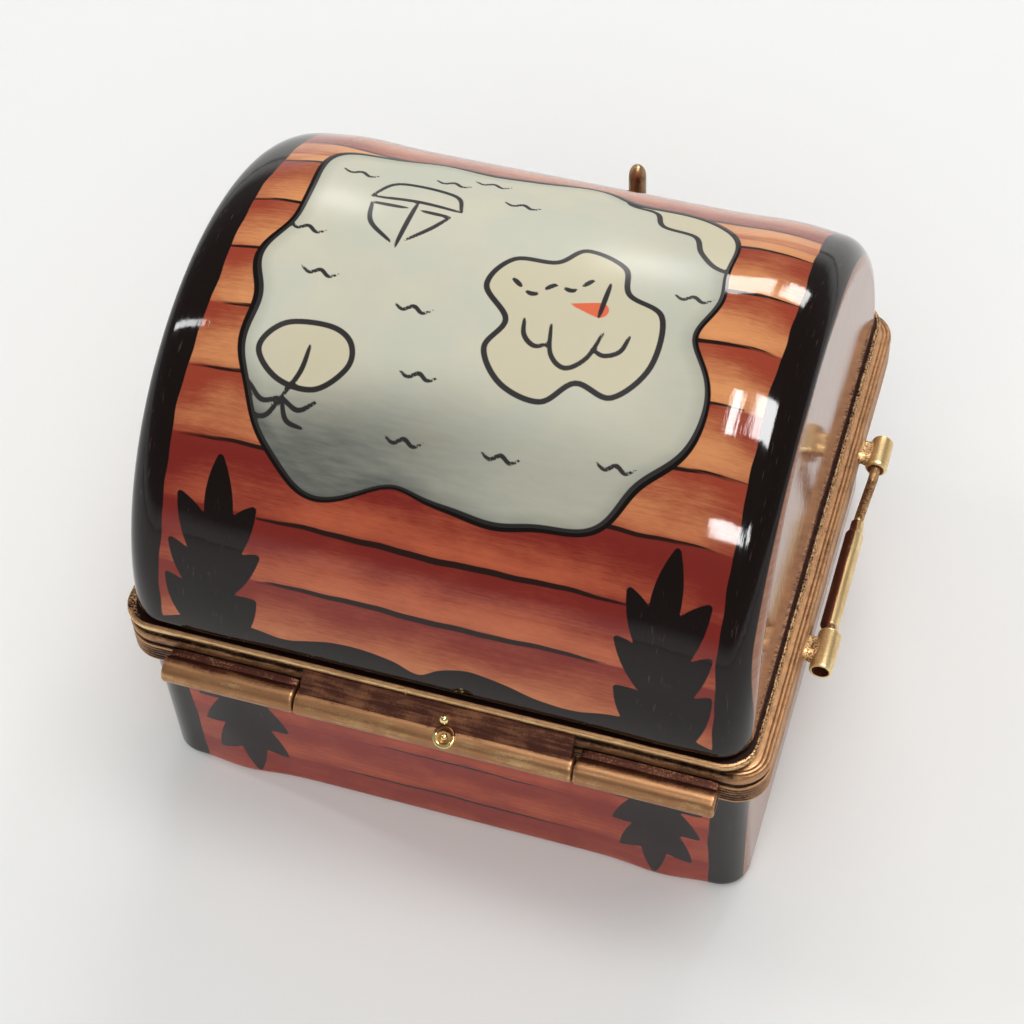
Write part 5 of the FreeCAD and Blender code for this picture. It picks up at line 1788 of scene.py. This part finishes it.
@dataclass(frozen=True)
class Handle:
    """A bail handle at one end: two ears on solder stubs, a bent wire and a sleeve as its grip."""

    end: End
    axis_x: float
    axis_z: float
    rim_x: float
    ear_radius: float
    ear_inner: float
    ear_outer: float
    grip_z: float
    grip_radius: float
    grip_half: float
    wire_radius: float = 0.45
    bore: float = 0.5
    mouth_radius: float = 0.76
    mouth_depth: float = 1.0
    wire_tail: float = 3.0
    wire_shoulder: float = 0.75
    wire_bend: float = 0.75
    grip_lead: float = 0.65
    neck_radius: float = 0.62
    neck_length: float = 1.1
    shoulder: float = 0.4
    stub_half: tuple[float, float] = (1.2, 0.65)
    front_trim: float = 0.4
    hang: float = 8.0
    seam_at: float = 122.0
    # Middle and reach, in degrees, of the grip's painted shade on the side towards the chest.
    chest_side_shade_at: float = 62.0
    chest_side_shade_reach: tuple[float, float] = (72.0, 46.0)

    @classmethod
    def from_frame(cls, end: End) -> "Handle":
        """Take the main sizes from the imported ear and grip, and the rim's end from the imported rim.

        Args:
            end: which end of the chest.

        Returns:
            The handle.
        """
        name = end.name.lower()
        grip_low, grip_high = box_mm(f"{name}_grip")
        ear_low, ear_high = box_mm(f"{name}_ear_back")
        grip_radius = 0.5 * (grip_high[2] - grip_low[2])
        ear_radius = 0.5 * (ear_high[2] - ear_low[2])
        return cls(end, 0.5 * (grip_low[0] + grip_high[0]), ear_low[2] + ear_radius, box_mm("base_rim")[1][0],
                   ear_radius, ear_low[1], ear_high[1], grip_low[2] + grip_radius, grip_radius, grip_high[1])

    @property
    def name(self) -> str:
        """Name of the end."""
        return self.end.name.lower()

    def ear(self, side: int) -> Skin:
        """Turn an ear about the handle's axis, with a dished dark mouth outside, and add its solder stub.

        Args:
            side: 1 at the back, -1 at the front.

        Returns:
            The skin.
        """
        trim = self.front_trim if side < 0 else 0.0
        inner, outer, radius = self.ear_inner + trim, self.ear_outer - trim, self.ear_radius
        dish = outer - self.mouth_depth
        spots = [(inner, self.bore), (inner, radius), (outer, radius), (outer, self.mouth_radius),
                 (dish, self.mouth_radius), (dish, self.bore)]
        profile = round_corners(spots, (0.0, 0.3, 0.18, 0.06, 0.0, 0.0), True)
        wear = rubbed_edges(profile, 0.6)
        wear = np.where(profile[:, 1] < self.mouth_radius + 0.02, 0.0, wear)
        turning = Turning((self.axis_x, 0.0, self.axis_z), (0.0, float(side), 0.0), (0.0, 0.0, 1.0), 44)
        swell = 1.0 - 0.02 * (1.0 + np.sin(2.0 * turning.angles() + side + self.end.value))
        skin = turning.skin(profile, wear, 0.25, swell)
        start = self.end.value * (self.rim_x - 0.15)
        x = np.linspace(start, self.axis_x - self.end.value * 0.4, 10)
        path = np.column_stack(np.broadcast_arrays(x, side * 0.5 * (inner + outer), self.axis_z))
        flare = np.linspace(1.0, -1.0, len(x)) ** 2
        wide, high = self.stub_half[0] + 0.22 * flare, self.stub_half[1] + 0.2 * flare
        return skin.joined(Sweep((0.0, 1.0, 0.0), 3.0, 40).skin(path, wide, high, 0.32, 0.5, 0.06))

    def hung(self, skin: Skin) -> Skin:
        """Turn a skin about the ears' axis, so that the handle rests a little towards the chest.

        Args:
            skin: skin of the upright handle, changed in place.

        Returns:
            The same skin.
        """
        angle = math.radians(self.hang) * self.end.value
        c, s = math.cos(angle), math.sin(angle)
        across, up = skin.points[:, 0] - self.axis_x, skin.points[:, 2] - self.axis_z
        skin.points[:, 0] = self.axis_x + c * across + s * up
        skin.points[:, 2] = self.axis_z + c * up - s * across
        return skin

    def bail(self) -> Skin:
        """Sweep the wire: a tail in each ear, two sloping legs and a bar through the grip."""
        bend = self.ear_inner - self.wire_shoulder
        foot = self.grip_half + self.grip_lead
        half = [(self.ear_inner + self.wire_tail, self.axis_z), (bend, self.axis_z), (foot, self.grip_z)]
        spots = half + [(-y, z) for y, z in reversed(half)]
        line = round_corners(spots, (0.0, *([self.wire_bend] * 4), 0.0), steps=8)
        path = np.column_stack(np.broadcast_arrays(self.axis_x, *line.T))
        radius = np.full(len(path), self.wire_radius)
        return self.hung(Sweep((1.0, 0.0, 0.0), 2.0, 20).skin(path, radius, radius, 0.3))

    def grip(self) -> Skin:
        """Turn the sleeve, slightly flattened, painted dark on the side towards the chest as painted shade,
        with a rolled sheet's seam outside.
        """
        half, step = self.grip_half, self.grip_half - self.neck_length
        upper = [(half, self.bore - 0.03), (half, self.neck_radius), (step, self.neck_radius),
                 (step - self.shoulder, self.grip_radius)]
        spots = upper + [(-y, r) for y, r in reversed(upper)]
        profile = round_corners(spots, (0.0, 0.08, 0.06, 0.14, 0.14, 0.06, 0.08, 0.0), True)
        turning = Turning((self.axis_x, 0.0, self.grip_z), (0.0, 1.0, 0.0), (0.0, 0.0, 1.0), 96)
        angle = turning.angles()
        groove = hump(angle_from(angle, 90.0 - self.end.value * self.seam_at), 0.0, 0.055)
        swell = 1.0 - 0.02 * (1.0 - np.cos(4.0 * angle)) - 0.07 * groove
        # Painted shade: the side towards the chest is darkened towards brown.
        from_inner = np.degrees(np.abs(angle_from(angle, -self.end.value * self.chest_side_shade_at)))
        chest_side_shade = ease(from_inner, *self.chest_side_shade_reach)
        wear = np.maximum(rubbed_edges(profile, 0.72)[:, None] - (0.6 * groove + 0.75 * chest_side_shade)[None, :], 0.0)
        return self.hung(turning.skin(profile, wear, 0.0, swell))

    def build(self, metal: Material) -> None:
        """Build the ears on the base, and the wire and the grip on the handle's own body."""
        body = Body(f"{self.name}_handle")
        for side, place in ((-1, "front"), (1, "back")):
            node = f"{self.name}_ear_{place}"
            self.ear(side).piece(f"{node}_tube", Body.BASE, Slot.HANDLE, (metal,), (node,))
        self.bail().piece(f"{self.name}_bail_wire", body, Slot.HANDLE, (metal,), (f"{self.name}_bail",))
        self.grip().piece(f"{self.name}_grip_sleeve", body, Slot.HANDLE, (metal,), (f"{self.name}_grip",))


@dataclass(frozen=True)
class Clasp:
    """The upright clasp at the front: a bullet-tipped bar, its bracket, a fork and the stud it snaps over."""

    x: float
    y: float
    rim_y: float
    tip: float
    foot: float
    bracket_foot: float
    bracket_top: float
    stud_z: float
    stud_end: float
    bar_radius: float = 0.85
    nose: float = 1.5
    shaft_foot: float = 22.1
    eye_radius: float = 1.6
    tongue_half: float = 1.6
    tongue_thickness: float = 0.9
    slot_half: float = 0.56
    stud_radius: float = 0.5
    flange_radius: float = 1.3
    flange_height: float = 0.5
    head_radius: float = 1.0
    head_height: float = 0.6

    @classmethod
    def from_frame(cls) -> "Clasp":
        """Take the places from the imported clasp."""
        bar_low, bar_high = box_mm("clasp_bar")
        bracket_low, bracket_high = box_mm("clasp_bracket")
        stud_low, stud_high = box_mm("clasp_stud")
        middle, stud_z = 0.5 * (bar_low[0] + bar_high[0]), 0.5 * (stud_low[2] + stud_high[2])
        y, rim_y = bracket_low[1] + cls.eye_radius, -box_mm("base_rim")[1][1]
        return cls(middle, y, rim_y, bar_high[2], bar_low[2], bracket_low[2], bracket_high[2], stud_z,
                   stud_low[1])

    def bar(self) -> Skin:
        """Turn the shaft with a bullet tip, half an ellipse, and sweep the fork as an upturned U.

        Returns:
            The skin.
        """
        turn = np.linspace(0.0, 0.5 * math.pi, 13)
        tip = np.stack([self.tip - self.nose * (1.0 - np.sin(turn)), self.bar_radius * np.cos(turn)], axis=-1)
        profile = np.vstack([[[self.shaft_foot, 0.0], [self.shaft_foot, self.bar_radius]], tip])
        wear = np.concatenate([[0.2, 0.2], 0.28 + 0.4 * np.sin(turn) ** 3])
        shaft = Turning((self.x, self.y, 0.0), (0.0, 0.0, 1.0), (1.0, 0.0, 0.0), 40).skin(profile, wear)
        middle = 0.5 * (self.slot_half + self.tongue_half)
        half_wide = 0.5 * (self.tongue_half - self.slot_half)
        arch = np.linspace(math.pi, 0.0, 17)
        over = np.stack([middle * np.cos(arch), self.stud_z + middle * np.sin(arch)], axis=-1)
        legs = np.array([[-middle, self.foot], [-middle, 0.5 * (self.foot + self.stud_z)]])
        route = np.vstack([legs, over, legs[::-1] * (-1.0, 1.0)])
        path = np.column_stack(np.broadcast_arrays(self.x + route[:, 0], self.y, route[:, 1]))
        thick = np.full(len(path), 0.5 * self.tongue_thickness)
        thick[[0, -1]] *= 0.8
        fork = Sweep((0.0, 1.0, 0.0), 5.0, 28).skin(path, thick, np.full(len(path), half_wide), 0.5)
        return shaft.joined(fork)

    def bracket(self) -> Skin:
        """Sweep the bracket: a plate from the rim that ends round the bar in half a disc."""
        reach = np.linspace(0.0, 1.0, 13)
        ends = self.y - self.eye_radius * np.sin(0.5 * math.pi * reach)
        y = np.concatenate([np.linspace(self.rim_y + 0.2, self.y, 8)[:-1], ends])
        rounded = self.eye_radius * np.cos(0.5 * math.pi * reach)
        half_wide = np.concatenate([np.full(len(y) - len(ends), self.eye_radius - 0.1), rounded])
        middle = 0.5 * (self.bracket_foot + self.bracket_top)
        path = np.column_stack(np.broadcast_arrays(self.x, y, middle))
        high = np.full(len(y), 0.5 * (self.bracket_top - self.bracket_foot))
        high[-1] *= 0.5
        return Sweep((1.0, 0.0, 0.0), 7.0, 40).skin(path, np.maximum(half_wide, 0.02), high, 0.45, 0.4)

    def stud(self) -> Skin:
        """Turn the stud: a flange on the rim, a shank and a domed head."""
        end = self.rim_y - self.stud_end
        neck = end - self.head_height
        spots = [(-0.3, 0.0), (-0.3, self.flange_radius), (self.flange_height, self.flange_radius),
                 (self.flange_height, self.stud_radius), (neck, self.stud_radius), (neck, self.head_radius),
                 (end, self.head_radius), (end, 0.0)]
        profile = round_corners(spots, (0.0, 0.0, 0.12, 0.1, 0.05, 0.08, 0.4, 0.0))
        turning = Turning((self.x, self.rim_y, self.stud_z), (0.0, -1.0, 0.0), (1.0, 0.0, 0.0), 36)
        return turning.skin(profile, rubbed_edges(profile, 0.5))

    def build(self, metal: Material) -> None:
        """Build the bar and its bracket on the lid, and the stud on the base."""
        self.bar().piece("clasp_bar_fork", Body.LID, Slot.CLASP, (metal,), ("clasp_bar",))
        self.bracket().piece("clasp_bracket_plate", Body.LID, Slot.CLASP, (metal,), ("clasp_bracket",))
        self.stud().piece("clasp_stud_head", Body.BASE, Slot.CLASP, (metal,), ("clasp_stud",))


class LampUse(Enum):
    """What a lamp does: light the chest, be mirrored in its glaze, or both."""

    LIGHT = (True, False)
    MIRRORED = (False, True)
    BOTH = (True, True)


@dataclass(frozen=True)
class StudioLamp:
    """A soft rectangular light, by the direction from which it shines on the chest."""

    name: str
    azimuth: float
    elevation: float
    width: float
    height: float
    power: float
    turn: float = 0.0
    use: LampUse = LampUse.BOTH
    distance: float = 1.0


@dataclass
class Studio:
    """Plain pale floor, soft lights and the camera that stands where the photograph was taken."""

    azimuth: float = 199.669
    elevation: float = 51.641
    roll: float = -3.146
    distance: float = 218.657
    target_height: float = 24.32
    image: float = 1024.0
    focal_pixels: float = 2390.35
    principal_x: float = 9.365
    principal_y: float = -56.347
    sensor: float = 36.0
    floor_half: float = 2.0
    floor_colour: Colour = srgb(245, 245, 243)
    fill: float = 0.44
    room: tuple[tuple[float, float], ...] = ((0.0, 0.9), (0.06, 0.8), (0.16, 0.24), (0.5, 0.18), (1.0, 0.22))

    lamps: tuple[StudioLamp, ...] = (
        StudioLamp("window_front", 8.0, 33.0, 0.34, 0.15, 2.1),
        StudioLamp("window_front_small", -12.0, 31.0, 0.14, 0.15, 1.1),
        StudioLamp("window_side", 85.5, 37.0, 0.035, 0.42, 0.9, -10.0),
        StudioLamp("pane_above_left", -60.0, 83.7, 0.09, 0.28, 2.7, 60.0, LampUse.MIRRORED),
        StudioLamp("pane_above_right", -74.7, 70.2, 0.2, 0.26, 5.0, 75.0, LampUse.MIRRORED),
        StudioLamp("pane_behind", -166.0, 52.0, 0.15, 0.12, 1.8, 0.0, LampUse.MIRRORED),
        StudioLamp("pane_behind_small", -147.0, 50.0, 0.12, 0.12, 1.2, 0.0, LampUse.MIRRORED),
        StudioLamp("soft_box_above", -66.0, 76.0, 0.4, 0.4, 2.0, 0.0, LampUse.LIGHT),
        StudioLamp("soft_box_behind", -165.0, 52.0, 1.2, 1.2, 8.0, 0.0, LampUse.LIGHT, 1.5),
    )

    @staticmethod
    def axes(azimuth: float, elevation: float, roll: float) -> tuple[Array, Array, Array]:
        """Axes of something that looks at the chest from a direction.

        Args:
            azimuth: 0 in front of the clasp and 90 at +X.
            elevation: angle above the floor.
            roll: turn about the line of sight.

        Returns:
            Its right, up and backward axes.
        """
        a, e = math.radians(azimuth), math.radians(elevation)
        back = np.array([math.sin(a) * math.cos(e), -math.cos(a) * math.cos(e), math.sin(e)])
        right = np.cross([0.0, 0.0, 1.0], back)
        right /= np.linalg.norm(right)
        up = np.cross(back, right)
        c, s = math.cos(math.radians(roll)), math.sin(math.radians(roll))
        return c * right + s * up, c * up - s * right, back

    @staticmethod
    def posed(axes: tuple[Array, Array, Array], place: Array) -> Matrix:
        """Pose something by its axes.

        Args:
            axes: columns of the matrix.
            place: where it stands, in metres.

        Returns:
            The matrix.
        """
        whole = np.eye(4)
        whole[:3, :3] = np.stack(axes, axis=-1)
        whole[:3, 3] = place
        return Matrix(whole.tolist())

    def camera(self) -> None:
        """Make the camera."""
        data = bpy.data.cameras.new("camera")
        data.sensor_width = self.sensor
        data.lens = self.focal_pixels / self.image * self.sensor
        data.shift_x = -self.principal_x / self.image
        data.shift_y = self.principal_y / self.image
        data.clip_start, data.clip_end = 0.01, 20.0
        made = bpy.data.objects.new("camera", data)
        axes = self.axes(self.azimuth, self.elevation, self.roll)
        place = (axes[2] * self.distance + np.array([0.0, 0.0, self.target_height])) * MM
        made.matrix_world = self.posed(axes, place)
        bpy.context.scene.collection.objects.link(made)
        bpy.context.scene.camera = made

    def light(self) -> None:
        """Make the lamps, each turned to face the chest."""
        for lamp in self.lamps:
            data = bpy.data.lights.new(lamp.name, "AREA")
            data.shape = "RECTANGLE"
            data.size, data.size_y, data.energy = lamp.width, lamp.height, lamp.power
            made = bpy.data.objects.new(lamp.name, data)
            axes = self.axes(lamp.azimuth, lamp.elevation, lamp.turn)
            made.matrix_world = self.posed(axes, axes[2] * lamp.distance)
            made.visible_camera = False
            made.visible_diffuse, made.visible_glossy = lamp.use.value
            bpy.context.scene.collection.objects.link(made)

    def floor(self) -> None:
        """Lay the floor, a square at the height of the foot."""
        half = self.floor_half
        corners = np.array([[-half, -half, 0.0], [half, -half, 0.0], [half, half, 0.0], [-half, half, 0.0]])
        mesh = bpy.data.meshes.new("floor")
        mesh.from_pydata(corners.tolist(), [], [(0, 1, 2, 3)])
        sheet = NodeSheet(bpy.data.materials.new("floor_paper"))
        fibre = sheet.noise(sheet.place(900.0), 2.0)
        rough = sheet.spread(fibre, 0.3, 0.7, 0.85, 0.95)
        paper = sheet.surface(Base_Color=self.floor_colour, Roughness=rough, Specular_IOR_Level=0.0)
        mesh.materials.append(paper)
        made = bpy.data.objects.new("floor", mesh)
        bpy.context.scene.collection.objects.link(made)

    def surroundings(self) -> None:
        """Give the world: white to the camera, an even fill, and in gloss a room dark above the horizon."""
        world = bpy.data.worlds.new("studio")
        bpy.context.scene.world = world
        sheet = NodeSheet(world)
        rays = sheet.add("ShaderNodeLightPath", {}).outputs
        direction = sheet.add("ShaderNodeTexCoord", {}).outputs["Generated"]
        height = sheet.add("ShaderNodeSeparateXYZ", {"Vector": direction}).outputs["Z"]
        ramp = sheet.add("ShaderNodeValToRGB", {"Fac": height})
        for position, _ in self.room[1:-1]:
            ramp.color_ramp.elements.new(position)
        for step, (position, level) in zip(ramp.color_ramp.elements, self.room):
            step.position, step.color = position, (level, level, level, 1.0)
        looks = ({"Strength": self.fill}, {"Color": ramp.outputs["Color"]}, {"Color": self.floor_colour})
        fill, room, white = (sheet.add("ShaderNodeBackground", look).outputs[0] for look in looks)
        mirrored = sheet.add("ShaderNodeMixShader", {0: rays["Is Glossy Ray"], 1: fill, 2: room}).outputs[0]
        seen = sheet.add("ShaderNodeMixShader", {0: rays["Is Camera Ray"], 1: mirrored, 2: white}).outputs[0]
        sheet.add("ShaderNodeOutputWorld", {"Surface": seen})

    def build(self) -> None:
        """Set up the whole studio."""
        self.camera()
        self.light()
        self.floor()
        self.surroundings()
        bpy.context.scene.view_settings.view_transform = "Standard"


def dress_nodes(material: Material, nodes: Sequence[str]) -> None:
    """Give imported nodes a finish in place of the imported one.

    Args:
        material: the finish.
        nodes: names of the nodes.
    """
    for name in nodes:
        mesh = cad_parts[name].data
        mesh.materials.clear()
        mesh.materials.append(material)
        LOG.info("%s: %s", name, material.name)


def main() -> None:
    """Build the pieces in order and set up the studio."""
    logging.basicConfig(level=logging.INFO, format="%(name)s: %(message)s")
    white = WhiteGlaze().material()
    LidShell.from_frame().build(LID_PAINT.material(True), white)
    BaseShell().build(BASE_PAINT.material(False), white)
    rim = RIM_BRASS.material()
    BaseRim.from_frame().build(rim)
    LidRim.from_frame().build(rim)
    hinge = HINGE_BRASS.material()
    Hinge.from_frame().build(hinge, BRIGHT_BRASS.material())
    dress_nodes(LEAF_BRASS.material(), ("hinge_leaf", "hinge_pin"))
    handle = HANDLE_BRASS.material()
    for end in End:
        Handle.from_frame(end).build(handle)
    Clasp.from_frame().build(CLASP_BRASS.material())
    Studio().build()


if __name__ == "__main__":
    main()
